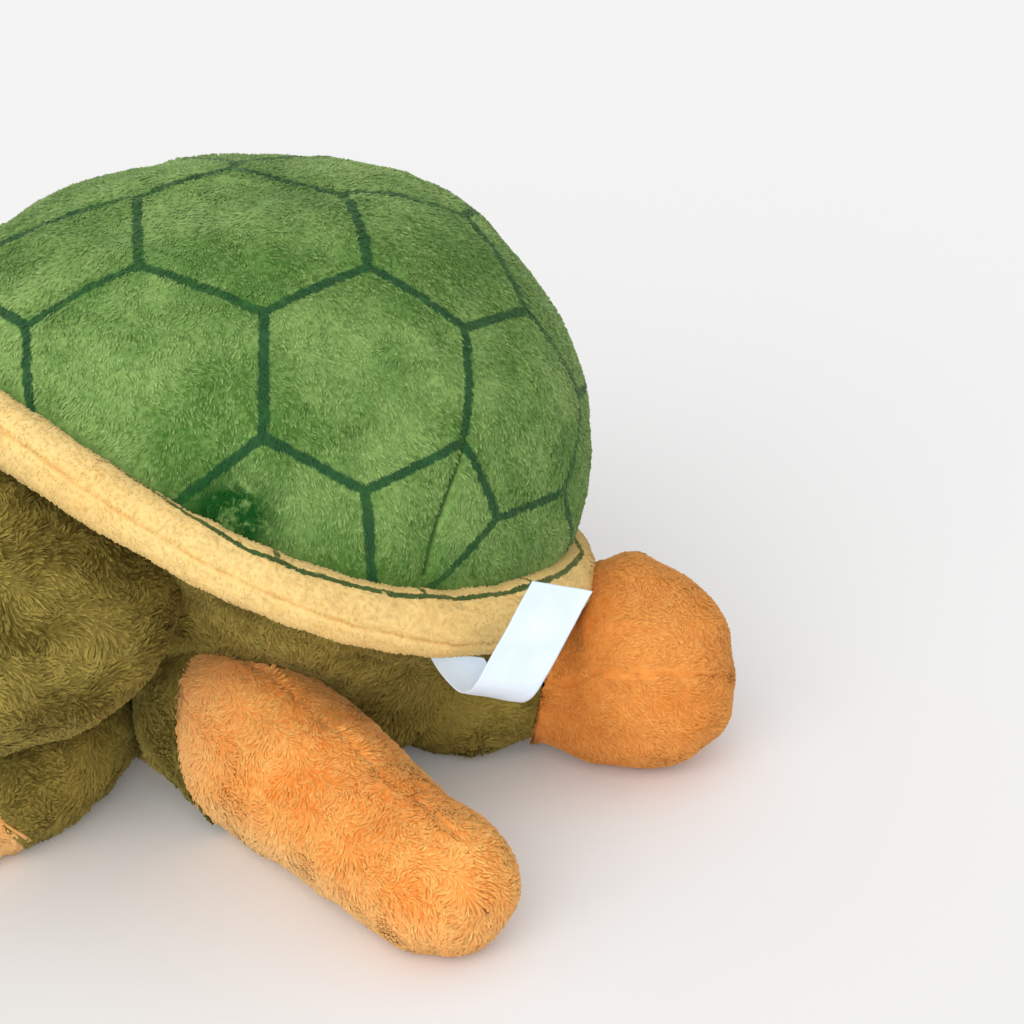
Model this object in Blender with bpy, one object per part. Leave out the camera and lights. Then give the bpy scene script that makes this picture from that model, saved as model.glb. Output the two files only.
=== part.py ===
"""Plush turtle: shell, rim, body, head, two arms, two hind legs, tail and sewn label.

World axes: +X is the turtle's left, -Y is where it looks, +Z is up. The origin is on the floor,
in the middle of the flat belly panel. Each fabric cover is a skin with an opening where it is
sewn on, and each holds its own stuffing. Limbs, head and tail turn about upright axes through
their rounded roots, which sit in sockets of the body.
"""
import math

import bmesh
import bpy
from mathutils import Matrix, Vector

MM = 0.001

# Cloth and clearances
cloth = 2.4 * MM
satin = 0.6 * MM
gap = 0.35 * MM
filling_gap = 0.9 * MM
floor_gap = 0.8 * MM
overrun = 12 * MM

# Shell dome
shell_half_width = 121 * MM
shell_half_length = 124 * MM
shell_half_height = 106 * MM
shell_centre_height = 102 * MM
shell_fullness_share = 2.2

# Rim tube and the wave that it follows round the shell
rim_tube_half_width = 10 * MM
rim_tube_half_height = 11 * MM
rim_stand_off = 5 * MM
rim_rear_height = 54 * MM
rim_slope_rise = 55.8 * MM
rim_neck_rise = 46.5 * MM
rim_neck_power_share = 2.3
rim_mouth_share = 0.22
rim_seat_depth = 0.8 * MM

# Body below the rim
body_top_inset = 3.5 * MM
body_top_drop = 7 * MM
body_swell = 9 * MM
body_flare_share = 1.35
belly_half_width = 61 * MM
belly_front_reach = 53 * MM
belly_rear_reach = 70 * MM
belly_edge_height = 7 * MM
belly_flat_share = 0.84
belly_lip_share = 0.2
lining_height = 88 * MM
lining_shares = (0.8, 0.55, 0.3)

# Head
head_pivot = Vector((0, -110 * MM, 91 * MM))
head_half_width = 57 * MM
head_half_height = 49.5 * MM
head_reach = 76 * MM
neck_opening_share = 0.78

# Arms: pivot, bend and tip on the floor plan
arm_half_width = 22.8 * MM
arm_swell = 1.2 * MM
arm_left_half_height = 28 * MM
arm_left_tip_half_width = 22 * MM
arm_left_tip_half_height = 21.5 * MM
arm_left_pivot = Vector((30 * MM, -48 * MM))
arm_left_bend = Vector((88 * MM, -48 * MM))
arm_left_tip = Vector((152 * MM, -60 * MM))
arm_left_seam = 21 * MM
arm_right_half_height = 19 * MM
arm_right_tip_half_width = 20.5 * MM
arm_right_pivot = Vector((-30 * MM, -50 * MM))
arm_right_bend = Vector((40 * MM, -122 * MM))
arm_right_tip = Vector((-36 * MM, -158 * MM))
arm_right_seam = 80 * MM
arm_swing = math.radians(10)

# Hind legs: plan places are those of the left leg
leg_pivot = Vector((67 * MM, 40 * MM))
leg_tip = Vector((124 * MM, 76 * MM))
leg_half_width = 27 * MM
leg_half_height = 25.5 * MM
leg_ankle = 36 * MM
leg_change_share = 0.58
foot_half_width = 34 * MM
foot_half_height = 33 * MM
foot_reach = 34 * MM
leg_swing = math.radians(8)

# Tail
tail_pivot = Vector((0, 76 * MM, 25 * MM))
tail_tip = Vector((0, 122 * MM, 15 * MM))
tail_half_width = 15 * MM
tail_tip_half_width = 6.5 * MM
tail_swing = math.radians(15)

# Eyes and mouth
eye_half_width = 7 * MM
eye_height = 4.2 * MM
eye_profile_shares = ((0.86, 0), (1, 0.3), (0.86, 0.68), (0.48, 0.94))
eye_stem_half_width = 2 * MM
eye_stem_past = 0.8 * MM
eye_washer_half_width = 8 * MM
eye_washer_thick = 1.6 * MM
eye_washer_depth = 2.4 * MM
eye_turn = math.radians(42)
eye_lift = math.radians(17)
mouth_thread_half_width = 0.7 * MM
mouth_turn = math.radians(27)
mouth_drop = math.radians(21)
mouth_corner_lift = math.radians(9)
mouth_end_share = 0.2

# Label sewn under the rim
label_width = 20 * MM
label_rise = 34 * MM
label_lean = 33 * MM
label_bend = 10 * MM
label_place_turn = math.radians(81)
label_face_turn = math.radians(50)
label_tilt = math.radians(15)

# Facet counts
shell_facet_count = 36
limb_facet_count = 14
head_facet_count = 20
stuffing_facet_count = 14
dome_level_count = 8
body_shares = [k / 5 for k in range(6)]
tube_facet_count = 8
eye_facet_count = 16

FRONT = Vector((0, -1, 0))
UP = Vector((0, 0, 1))


def remove_old_objects():
    """Clear the scene's objects, so that the model is made afresh."""
    for old in list(bpy.data.objects):
        bpy.data.objects.remove(old)


def plain_material(name, colour, roughness, metallic=0.0):
    """A Principled material in the colour of the finished piece."""
    material = bpy.data.materials.new(name)
    material.use_nodes = True
    shader = material.node_tree.nodes["Principled BSDF"]
    shader.inputs["Base Color"].default_value = (*colour, 1.0)
    shader.inputs["Roughness"].default_value = roughness
    shader.inputs["Metallic"].default_value = metallic
    return material


def add_object(name, mesh, material, smooth_angle=math.radians(40)):
    """Link a mesh as an object with its own material and smooth shading."""
    mesh.shade_smooth()
    mesh.set_sharp_from_angle(angle=smooth_angle)
    piece = bpy.data.objects.new(name, mesh)
    bpy.context.collection.objects.link(piece)
    mesh.materials.append(material)
    return piece


def loft(name, rings, start=None, end=None):
    """Closed mesh through rings of points: a pole at each end, or the last ring joined to the first."""
    bm = bmesh.new()
    rows = [[bm.verts.new(point) for point in ring] for ring in rings]
    pairs = list(zip(rows, rows[1:]))
    if start is None:
        pairs.append((rows[-1], rows[0]))
    for row, after in pairs:
        for k in range(len(row)):
            n = (k + 1) % len(row)
            bm.faces.new((row[k], row[n], after[n], after[k]))
    for pole, row in ((start, rows[0]), (end, rows[-1])):
        if pole is not None:
            tip = bm.verts.new(pole)
            for k in range(len(row)):
                bm.faces.new((row[k], row[(k + 1) % len(row)], tip))
    bmesh.ops.recalc_face_normals(bm, faces=bm.faces)
    bmesh.ops.triangulate(bm, faces=bm.faces, quad_method="SHORT_EDGE")
    mesh = bpy.data.meshes.new(name)
    bm.to_mesh(mesh)
    bm.free()
    return mesh


def set_origin(piece, pivot):
    """Put a piece's origin on its joint axis and leave its shape where it is."""
    piece.data.transform(Matrix.Translation(-pivot))
    piece.location = pivot


def cutter(name, mesh):
    """A hidden object that other pieces are cut with."""
    tool = bpy.data.objects.new(name, mesh)
    bpy.context.collection.objects.link(tool)
    tool.hide_render = True
    tool.display_type = "WIRE"
    return tool


def cut(piece, tool):
    """Take a cutter's space out of a piece."""
    step = piece.modifiers.new("cut_" + tool.name, "BOOLEAN")
    step.operation = "DIFFERENCE"
    step.solver = "EXACT"
    step.object = tool


def turns(count):
    """Angles round a full circle."""
    return [2 * math.pi * k / count for k in range(count)]


def plan_direction(turn):
    """Level direction at an angle from the front, counted towards the turtle's left."""
    return Vector((math.sin(turn), -math.cos(turn), 0))


# Shell and rim forms

def rim_height(turn):
    """Height of the rim tube's middle: low at the rear, lifted over the neck."""
    slope = rim_slope_rise * (1 + math.cos(turn)) / 2
    neck = rim_neck_rise * max(0, math.cos(turn)) ** rim_neck_power_share
    return rim_rear_height + slope + neck


def shell_radius(turn, height, inset=0):
    """Level distance from the shell's axis to its surface."""
    wide, long_ = shell_half_width - inset, shell_half_length - inset
    rise = (height - shell_centre_height) / (shell_half_height - inset)
    power = shell_fullness_share if rise > 0 else 2
    girth = math.hypot(wide * math.sin(turn), long_ * math.cos(turn))
    return girth * max(0, 1 - abs(rise) ** power) ** (1 / power)


def rim_radius(turn):
    """Level distance from the shell's axis to the rim tube's middle."""
    return shell_radius(turn, rim_height(turn)) + rim_stand_off


def shell_edge_height(turn):
    """Height at which the dome's cloth ends on top of the rim tube."""
    return rim_height(turn) + rim_tube_half_height + gap


def dome_rings(inset):
    """Rings down the dome, from below its pole to the edge of its cloth."""
    rings = []
    top = math.pi / 2
    high = shell_half_height - inset
    for level in range(1, dome_level_count + 1):
        ring = []
        for turn in turns(shell_facet_count):
            edge = math.asin((shell_edge_height(turn) - shell_centre_height) / high)
            height = shell_centre_height + high * math.sin(top + (edge - top) * level / dome_level_count)
            ring.append(plan_direction(turn) * shell_radius(turn, height, inset) + UP * height)
        rings.append(ring)
    return rings


def make_shell_cover(material):
    """Printed plush dome, open below."""
    outer = dome_rings(0)
    inner = dome_rings(cloth)
    poles = [UP * (shell_centre_height + shell_half_height - inset) for inset in (0, cloth)]
    add_object("shell_cover", loft("shell_cover", outer + inner[::-1], *poles), material)


def tube_section(turn, inset, angles):
    """Points of the rim tube's section in the upright plane at a turn."""
    middle = plan_direction(turn) * rim_radius(turn) + UP * rim_height(turn)
    wide, high = rim_tube_half_width - inset, rim_tube_half_height - inset
    out = plan_direction(turn)
    return [middle + out * wide * math.cos(a) + UP * high * math.sin(a) for a in angles]


def make_rim(material, stuffing_material):
    """Stuffed tube round the shell: a cover open on its inner side, and the tube's filling."""
    reach = math.pi * (1 - rim_mouth_share)
    arc = [-reach + 2 * reach * k / (tube_facet_count - 1) for k in range(tube_facet_count)]
    sections = []
    for turn in turns(shell_facet_count):
        sections.append(tube_section(turn, 0, arc) + tube_section(turn, cloth, arc[::-1]))
    add_object("rim_cover", loft("rim_cover", sections), material)
    sections = [tube_section(turn, cloth + filling_gap, arc) for turn in turns(shell_facet_count)]
    add_object("rim_stuffing", loft("rim_stuffing", sections), stuffing_material)


# Body forms

def belly_reach(turn):
    """Level distance from the axis to the belly panel's edge."""
    long_ = belly_front_reach if math.cos(turn) > 0 else belly_rear_reach
    wide = belly_half_width
    return wide * long_ / math.hypot(long_ * math.sin(turn), wide * math.cos(turn))


def body_top(turn):
    """Level distance and height of the body cover's upper edge, under the rim tube."""
    height = rim_height(turn) - body_top_drop
    return shell_radius(turn, rim_height(turn)) - body_top_inset, height


def body_ring(share, inset):
    """Ring round the body cover, from the belly's edge at share 0 to the rim at share 1."""
    ring = []
    for turn in turns(shell_facet_count):
        top_reach, top_height = body_top(turn)
        low_reach = belly_reach(turn)
        reach = low_reach + (top_reach - low_reach) * share ** body_flare_share
        reach += body_swell * math.sin(math.pi * share) * (1 - math.cos(turn)) / 2
        height = belly_edge_height + gap + (top_height - belly_edge_height - gap) * share
        ring.append(plan_direction(turn) * (reach - inset) + UP * height)
    return ring


def make_body_cover(material):
    """Side cloth between belly panel and rim."""
    outer = [body_ring(share, 0) for share in body_shares]
    inner = [body_ring(share, cloth) for share in body_shares[::-1]]
    return add_object("body_cover", loft("body_cover", outer + inner), material)


def belly_ring(share, height):
    """Ring of the belly panel at a share of its reach."""
    return [plan_direction(a) * belly_reach(a) * share + UP * height for a in turns(shell_facet_count)]


def make_belly_panel(material):
    """Flat panel that the turtle rests on, with its edge drawn up to the sides."""
    inner_share = 1 - cloth / belly_half_width
    rings = [
        belly_ring(belly_flat_share, 0),
        belly_ring((1 + belly_flat_share) / 2, belly_edge_height * belly_lip_share),
        belly_ring(1, belly_edge_height),
        belly_ring(inner_share, belly_edge_height),
        belly_ring(belly_flat_share, cloth),
    ]
    mesh = loft("belly_panel", rings, Vector((0, 0, 0)), UP * cloth)
    return add_object("belly_panel", mesh, material)


def lining_rings(edge):
    """Rings of the surface where shell and body stuffing meet, inwards from its edge."""
    rings = []
    for share in lining_shares:
        ring = []
        for point in edge:
            height = lining_height + (point.z - lining_height) * share * share
            ring.append(Vector((point.x * share, point.y * share, height)))
        rings.append(ring)
    return rings


def seat_ring(angle, offset=0):
    """Ring of stuffing that lies against the rim tube's inner side, at an angle round its section."""
    clear = gap + rim_seat_depth
    ring = []
    for turn in turns(shell_facet_count):
        reach = rim_radius(turn) + (rim_tube_half_width + clear) * math.cos(angle)
        limit = shell_radius(turn, shell_edge_height(turn), cloth + filling_gap)
        height = rim_height(turn) + (rim_tube_half_height + clear) * math.sin(angle) + offset
        ring.append(plan_direction(turn) * min(reach, limit) + UP * height)
    return ring


def make_shell_stuffing(material):
    """Filling of the dome."""
    inset = cloth + filling_gap
    seat = [seat_ring(math.radians(angle)) for angle in (120, 150)]
    edge = seat_ring(math.pi, gap / 2)
    dome = dome_rings(inset)
    pole = UP * (shell_centre_height + shell_half_height - inset)
    low_pole = UP * (lining_height + gap / 2)
    mesh = loft("shell_stuffing", dome + seat + [edge] + lining_rings(edge), pole, low_pole)
    return add_object("shell_stuffing", mesh, material)


def make_body_stuffing(material):
    """Filling of the body below the shell."""
    clear = cloth + filling_gap
    edge = seat_ring(math.pi, -gap / 2)
    low = belly_ring(belly_flat_share, clear)
    sides = [body_ring(share, clear) for share in body_shares[:-1]]
    rings = [low] + sides + [edge] + lining_rings(edge)
    mesh = loft("body_stuffing", rings, UP * clear, UP * (lining_height - gap / 2))
    return add_object("body_stuffing", mesh, material)


# Limb forms

class Limb:
    """Rounded root behind a pivot, a trunk that swells and bends, and a rounded tip."""

    def __init__(self, pivot, bend, tip, root, end, tip_reach, swell=0, change_share=0):
        self.pivot, self.bend, self.tip = pivot, bend, tip
        self.root, self.end = root, end
        self.root_reach, self.tip_reach = root[0], tip_reach
        self.swell, self.change_share = swell, change_share
        places = [self.middle(k / 12)[0] for k in range(13)]
        self.trunk = sum((b - a).length for a, b in zip(places, places[1:]))

    def ease(self, share):
        """How far the section has changed from root to tip at a share of the trunk."""
        late = max(0, share - self.change_share) / (1 - self.change_share)
        return late * late * (3 - 2 * late)

    def middle(self, share):
        """Place and level direction on the centre line at a share of the trunk."""
        first = self.pivot.lerp(self.bend, share)
        second = self.bend.lerp(self.tip, share)
        place = first.lerp(second, share)
        place.z = self.pivot.z + (self.tip.z - self.pivot.z) * self.ease(share)
        line = second.xy - first.xy
        direction = Vector((*line.normalized(), 0)) if line.length else FRONT
        return place, direction

    def ring(self, distance, inset, count):
        """Section at a distance from the pivot, drawn in by an inset."""
        share = min(1, max(0, distance / self.trunk)) if self.trunk else 0.5
        place, direction = self.middle(share)
        wide, high = [a + (b - a) * self.ease(share) - inset for a, b in zip(self.root, self.end)]
        wide += self.swell * math.sin(math.pi * share)
        past = max(0, distance - self.trunk) / (self.tip_reach - inset)
        past += min(0, distance) / (self.root_reach - inset)
        place = place + direction * (min(0, distance) + max(0, distance - self.trunk))
        scale = math.sqrt(max(0, 1 - past * past))
        side = direction.cross(UP)
        points = []
        for angle in turns(count):
            across = side * wide * math.cos(angle) + UP * high * math.sin(angle)
            points.append(place + across * scale)
        return points

    def trunk_distances(self, start, stop, steps):
        """Section places from start to stop, with one at the pivot where the root begins."""
        spots = [start + (stop - start) * k / steps for k in range(steps + 1)]
        if start < 0:
            spots = [start, start / 2] + [stop * k / steps for k in range(steps + 1)]
        return spots

    def tip_distances(self, inset, steps):
        """Section places over the rounded tip, up to the last one before its pole."""
        reach = self.tip_reach - inset
        return [self.trunk + reach * math.sin(math.pi / 2 * k / (steps + 1)) for k in range(1, steps + 1)]

    def root_distances(self, inset, steps):
        """Section places over the rounded root, from the first one after its pole."""
        reach = self.root_reach - inset
        return [-reach * math.cos(math.pi / 2 * k / (steps + 1)) for k in range(1, steps + 1)]

    def tip_pole(self, inset):
        """The point where the rounded tip closes."""
        place, direction = self.middle(1)
        return place + direction * (self.tip_reach - inset)

    def root_pole(self, inset):
        """The point where the rounded root closes."""
        place, direction = self.middle(0)
        return place - direction * (self.root_reach - inset)


def bag(name, limb, start, trunk_steps, tip_steps, count, material):
    """Cover that closes over a limb's tip and is open at a start distance."""
    shapes = []
    for inset in (0, cloth):
        steps = limb.trunk_distances(start, limb.trunk, trunk_steps) + limb.tip_distances(inset, tip_steps)
        shapes.append([limb.ring(step, inset, count) for step in steps])
    rings = shapes[0][::-1] + shapes[1]
    mesh = loft(name, rings, limb.tip_pole(0), limb.tip_pole(cloth))
    return add_object(name, mesh, material)


def sleeve(name, limb, start, stop, steps, material):
    """Cover tube, open at both ends."""
    spots = limb.trunk_distances(start, stop, steps)
    outer = [limb.ring(spot, 0, limb_facet_count) for spot in spots]
    inner = [limb.ring(spot, cloth, limb_facet_count) for spot in spots[::-1]]
    return add_object(name, loft(name, outer + inner), material)


def stuffing(name, limb, trunk_steps, end_steps, count, material):
    """Filling of a limb, which reaches from its rounded root to its tip."""
    inset = cloth + filling_gap
    steps = limb.root_distances(inset, end_steps) + [0]
    if limb.trunk:
        steps += [limb.trunk * k / trunk_steps for k in range(1, trunk_steps + 1)]
    steps += limb.tip_distances(inset, end_steps)
    rings = [limb.ring(step, inset, count) for step in steps]
    mesh = loft(name, rings, limb.root_pole(inset), limb.tip_pole(inset))
    return add_object(name, mesh, material)


def fan_cutter(name, limb, swing, headroom=gap):
    """Upright space that a limb's root takes as it swings both ways about its pivot."""
    reach = limb.root[0] + limb.swell + gap
    direction = limb.middle(0)[1]
    heading = math.atan2(direction.y, direction.x)
    low, high = -overrun, limb.pivot.z + limb.root[1] + headroom
    far = limb.trunk + limb.tip_reach
    outline = []
    back_count = 10
    for k in range(back_count + 1):
        angle = heading + math.pi / 2 + swing + (math.pi - 2 * swing) * k / back_count
        outline.append(Vector((math.cos(angle), math.sin(angle))) * (limb.root[0] + gap))
    for sign in (-1, 1):
        along = heading + sign * swing
        side = Vector((math.cos(along + sign * math.pi / 2), math.sin(along + sign * math.pi / 2)))
        outline.append(side * reach + Vector((math.cos(along), math.sin(along))) * far)
    rings = []
    for height in (low, high):
        rings.append([Vector((limb.pivot.x + p.x, limb.pivot.y + p.y, height)) for p in outline])
    middle = limb.pivot.xy + direction.xy * far / 2
    mesh = loft(name, rings, Vector((*middle, low)), Vector((*middle, high)))
    return cutter(name, mesh)


def limb_height(half_height):
    """Height of a limb's centre line when it lies just clear of the floor."""
    return half_height + floor_gap


def make_arms(looks):
    """Two arms, each an olive sleeve, an orange flipper and its stuffing."""
    cutters = []
    left_root = (arm_half_width, arm_left_half_height)
    left_end = (arm_left_tip_half_width, arm_left_tip_half_height)
    right_root = (arm_half_width, arm_right_half_height)
    right_end = (arm_right_tip_half_width, arm_right_half_height)
    plans = {
        "left": (arm_left_pivot, arm_left_bend, arm_left_tip, left_root, left_end, arm_left_seam),
        "right": (arm_right_pivot, arm_right_bend, arm_right_tip, right_root, right_end, arm_right_seam),
    }
    for side, (pivot, bend, tip, root, end, seam) in plans.items():
        places = [Vector((*place, limb_height(root[1]))) for place in (pivot, bend)]
        places.append(Vector((*tip, limb_height(end[1]))))
        arm = Limb(*places, root, end, end[0], arm_swell)
        opening = -arm_half_width / 2
        name = "arm_" + side
        steps = max(3, round(seam / arm_half_width) + 2)
        upper = sleeve(name + "_sleeve", arm, opening, seam - gap / 2, steps, looks["olive"])
        steps = max(3, round((arm.trunk - seam) / arm_half_width) + 2)
        flipper = bag(name + "_flipper", arm, seam + gap / 2, steps, 4, limb_facet_count, looks["orange"])
        filling = stuffing(name + "_stuffing", arm, 9, 3, stuffing_facet_count, looks["stuffing"])
        for piece in (upper, flipper, filling):
            set_origin(piece, arm.pivot)
        cutters.append(fan_cutter(name + "_room", arm, arm_swing, gap * (1 + len(cutters))))
    return cutters


def make_legs(looks):
    """Two hind legs, each an olive sleeve, an orange foot and its stuffing."""
    cutters = []
    for side, sign in (("left", 1), ("right", -1)):
        pivot = Vector((leg_pivot.x * sign, leg_pivot.y, limb_height(leg_half_height)))
        tip = Vector((leg_tip.x * sign, leg_tip.y, limb_height(foot_half_height)))
        root = (leg_half_width, leg_half_height)
        end = (foot_half_width, foot_half_height)
        leg = Limb(pivot, pivot.lerp(tip, 0.5), tip, root, end, foot_reach, 0, leg_change_share)
        name = "leg_" + side
        opening = -leg_half_width / 2
        pieces = [
            sleeve(name + "_sleeve", leg, opening, leg_ankle - gap / 2, 5, looks["olive"]),
            bag(name + "_foot", leg, leg_ankle + gap / 2, 4, 5, limb_facet_count, looks["foot"]),
            stuffing(name + "_stuffing", leg, 9, 4, stuffing_facet_count, looks["stuffing"]),
        ]
        for piece in pieces:
            set_origin(piece, leg.pivot)
        cutters.append(fan_cutter(name + "_room", leg, leg_swing))
    return cutters


def make_tail(looks):
    """Short tapering tail with its stuffing."""
    root = (tail_half_width, tail_half_width)
    end = (tail_tip_half_width, tail_tip_half_width)
    tail = Limb(tail_pivot, tail_pivot.lerp(tail_tip, 0.5), tail_tip, root, end, tail_tip_half_width)
    pieces = [
        bag("tail_cover", tail, -tail_half_width / 2, 5, 2, stuffing_facet_count, looks["olive"]),
        stuffing("tail_stuffing", tail, 5, 2, stuffing_facet_count, looks["stuffing"]),
    ]
    for piece in pieces:
        set_origin(piece, tail.pivot)
    return [fan_cutter("tail_room", tail, tail_swing)]


def round_bar(name, profile, count):
    """Turned solid about +Z from (radius, height) pairs, with a pole at each end."""
    rings = []
    for radius, height in profile[1:-1]:
        rings.append([plan_direction(a) * radius + UP * height for a in turns(count)])
    return loft(name, rings, UP * profile[0][1], UP * profile[-1][1])


def head_point(turn, lift, stand_off=0):
    """Point on the head's front surface, and the direction out of it."""
    wide = head_half_width + stand_off
    long_ = head_reach + stand_off
    high = head_half_height + stand_off
    aim = Vector((math.sin(turn) * math.cos(lift), -math.cos(turn) * math.cos(lift), math.sin(lift)))
    point = Vector((aim.x * wide, aim.y * long_, aim.z * high))
    out = Vector((point.x / wide ** 2, point.y / long_ ** 2, point.z / high ** 2)).normalized()
    return head_pivot + point, out


def make_head(looks):
    """Head cover and stuffing, two eyes held by washers, and a sewn mouth."""
    size = (head_half_width, head_half_height)
    head = Limb(head_pivot, head_pivot, head_pivot, size, size, head_reach)
    opening = head_half_width * neck_opening_share
    step_count = 6
    shapes = []
    for inset in (0, cloth):
        reach = head_half_width - inset
        first = math.asin(min(1, opening / reach))
        back = [-reach * math.sin(first * k / (step_count - 1)) for k in range(step_count)][::-1]
        spots = back + head.tip_distances(inset, step_count)
        shapes.append([head.ring(spot, inset, head_facet_count) for spot in spots])
    mesh = loft("head_cover", shapes[0][::-1] + shapes[1], head.tip_pole(0), head.tip_pole(cloth))
    cover = add_object("head_cover", mesh, looks["olive"])
    filling = stuffing("head_stuffing", head, 1, 5, head_facet_count - 4, looks["stuffing"])
    pieces = [cover, filling]
    for side, sign in (("left", 1), ("right", -1)):
        place, out = head_point(eye_turn * sign, eye_lift)
        seat = Matrix.Translation(place) @ out.to_track_quat("Z", "Y").to_matrix().to_4x4()
        eye, washer, hole, pocket = make_eye(side, seat, looks)
        cut(cover, hole)
        cut(filling, hole)
        cut(filling, pocket)
        pieces += [eye, washer]
    pieces.append(make_mouth(looks["thread"]))
    for piece in pieces:
        set_origin(piece, head_pivot)
    room = round_room("head_room", head_pivot, head_half_width + gap, head_half_height + gap)
    return room


def make_eye(side, seat, looks):
    """Plastic eye whose stem goes through the cover, its washer, and the cutters that fit them."""
    washer_low = -(cloth + eye_washer_depth + eye_washer_thick)
    stem_end = washer_low - eye_stem_past
    profile = [(0, stem_end), (eye_stem_half_width, stem_end), (eye_stem_half_width, gap)]
    for wide_share, high_share in eye_profile_shares:
        profile.append((eye_half_width * wide_share, gap + eye_height * high_share))
    profile.append((0, gap + eye_height))
    mesh = round_bar("eye_" + side, profile, eye_facet_count)
    mesh.transform(seat)
    eye = add_object("eye_" + side, mesh, looks["eye"])
    washer = make_washer("eye_washer_" + side, seat, looks["washer"])
    cutters = []
    rooms = {
        "eye_hole_": (eye_stem_half_width + gap, stem_end - gap),
        "eye_pocket_": (eye_washer_half_width + gap, washer_low - gap),
    }
    for name, (wide, low) in rooms.items():
        corners = [(0, low), (wide, low), (wide, overrun), (0, overrun)]
        mesh = round_bar(name + side, corners, eye_facet_count)
        mesh.transform(seat)
        cutters.append(cutter(name + side, mesh))
    return eye, washer, *cutters


def make_washer(name, seat, material):
    """Ring that locks an eye's stem behind the cover."""
    top = -(cloth + eye_washer_depth)
    low = top - eye_washer_thick
    hole = eye_stem_half_width + gap
    corners = ((hole, low), (eye_washer_half_width, low), (eye_washer_half_width, top), (hole, top))
    rings = []
    for radius, height in corners:
        rings.append([plan_direction(a) * radius + UP * height for a in turns(eye_facet_count)])
    mesh = loft(name, rings)
    mesh.transform(seat)
    return add_object(name, mesh, material)


def make_mouth(material):
    """Thread sewn across the front of the head in a shallow smile."""
    stand_off = mouth_thread_half_width + gap
    points = []
    step_count = 16
    for k in range(step_count + 1):
        share = 2 * k / step_count - 1
        lift = mouth_corner_lift * share * share - mouth_drop
        points.append(head_point(mouth_turn * share, lift, stand_off)[0])
    rings = []
    for k, point in enumerate(points):
        along = (points[min(k + 1, step_count)] - points[max(k - 1, 0)]).normalized()
        side = along.cross(UP).normalized()
        up = side.cross(along)
        ring = []
        for angle in turns(6):
            ring.append(point + (side * math.cos(angle) + up * math.sin(angle)) * mouth_thread_half_width)
        rings.append(ring)
    ends = [
        points[0].lerp(points[1], -mouth_end_share),
        points[-1].lerp(points[-2], -mouth_end_share),
    ]
    return add_object("mouth_thread", loft("mouth_thread", rings, *ends), material)


def round_room(name, centre, half_width, half_height):
    """Turned cutter about an upright axis, whose facets clear the round form inside it."""
    step_count = 14
    rings = []
    for k in range(1, step_count):
        lift = -math.pi / 2 + math.pi * k / step_count
        reach = half_width * math.cos(lift) / math.cos(math.pi / shell_facet_count)
        height = UP * half_height * math.sin(lift)
        rings.append([centre + plan_direction(a) * reach + height for a in turns(shell_facet_count)])
    mesh = loft(name, rings, centre - UP * half_height, centre + UP * half_height)
    return cutter(name, mesh)


def label_path():
    """Centre line of the label: down from the rim's seam, round and up, leaning to the rear."""
    out = plan_direction(label_face_turn)
    level = UP.cross(out).normalized()
    along = level * math.cos(label_tilt) - UP * math.sin(label_tilt)
    root = plan_direction(label_place_turn) * rim_radius(label_place_turn)
    root += UP * (rim_height(label_place_turn) - rim_tube_half_height)
    centre = root + out * label_bend
    curve = math.pi * label_bend
    length = curve + label_rise
    points = []
    step_count = 10
    for k in range(step_count + 1):
        angle = math.pi + math.pi * k / step_count
        point = centre + (out * math.cos(angle) + UP * math.sin(angle)) * label_bend
        points.append(point + level * label_lean * (curve * k / step_count) / length)
    points.append(root + out * label_bend * 2 + UP * label_rise + level * label_lean)
    return points, along


def make_label(material):
    """Folded satin strip sewn under the rim."""
    points, along = label_path()
    rings = []
    for k, point in enumerate(points):
        step = points[min(k + 1, len(points) - 1)] - points[max(k - 1, 0)]
        face = step.cross(along).normalized()
        half, thick = along * label_width / 2, face * satin / 2
        back, front = point - thick, point + thick
        rings.append([back - half, back + half, front + half, front - half])
    mesh = loft("label", rings, points[0], points[-1])
    set_origin(add_object("label", mesh, material), points[0])


def main():
    remove_old_objects()
    looks = {
        "shell": plain_material("green_plush", (0.148, 0.257, 0.066), 0.9),
        "rim": plain_material("cream_plush", (0.84, 0.62, 0.25), 0.9),
        "olive": plain_material("olive_plush", (0.185, 0.15, 0.03), 0.95),
        "orange": plain_material("orange_plush", (0.86, 0.32, 0.075), 0.95),
        "foot": plain_material("orange_foot_plush", (0.8, 0.3, 0.07), 0.95),
        "belly": plain_material("tan_plush", (0.55, 0.38, 0.15), 0.95),
        "stuffing": plain_material("white_filling", (0.85, 0.85, 0.83), 1.0),
        "eye": plain_material("black_plastic", (0.01, 0.01, 0.01), 0.1),
        "washer": plain_material("clear_white_plastic", (0.8, 0.8, 0.78), 0.4),
        "thread": plain_material("dark_thread", (0.03, 0.025, 0.01), 0.7),
        "label": plain_material("white_satin", (0.75, 0.83, 0.92), 0.45),
    }
    make_shell_cover(looks["shell"])
    make_rim(looks["rim"], looks["stuffing"])
    body_cover = make_body_cover(looks["olive"])
    belly = make_belly_panel(looks["belly"])
    shell_filling = make_shell_stuffing(looks["stuffing"])
    body_filling = make_body_stuffing(looks["stuffing"])
    head_room = make_head(looks)
    limb_rooms = make_arms(looks) + make_legs(looks) + make_tail(looks)
    make_label(looks["label"])
    cut(shell_filling, head_room)
    for room in [head_room] + limb_rooms:
        cut(body_cover, room)
        cut(body_filling, room)
    for room in limb_rooms:
        cut(belly, room)


main()
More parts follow.
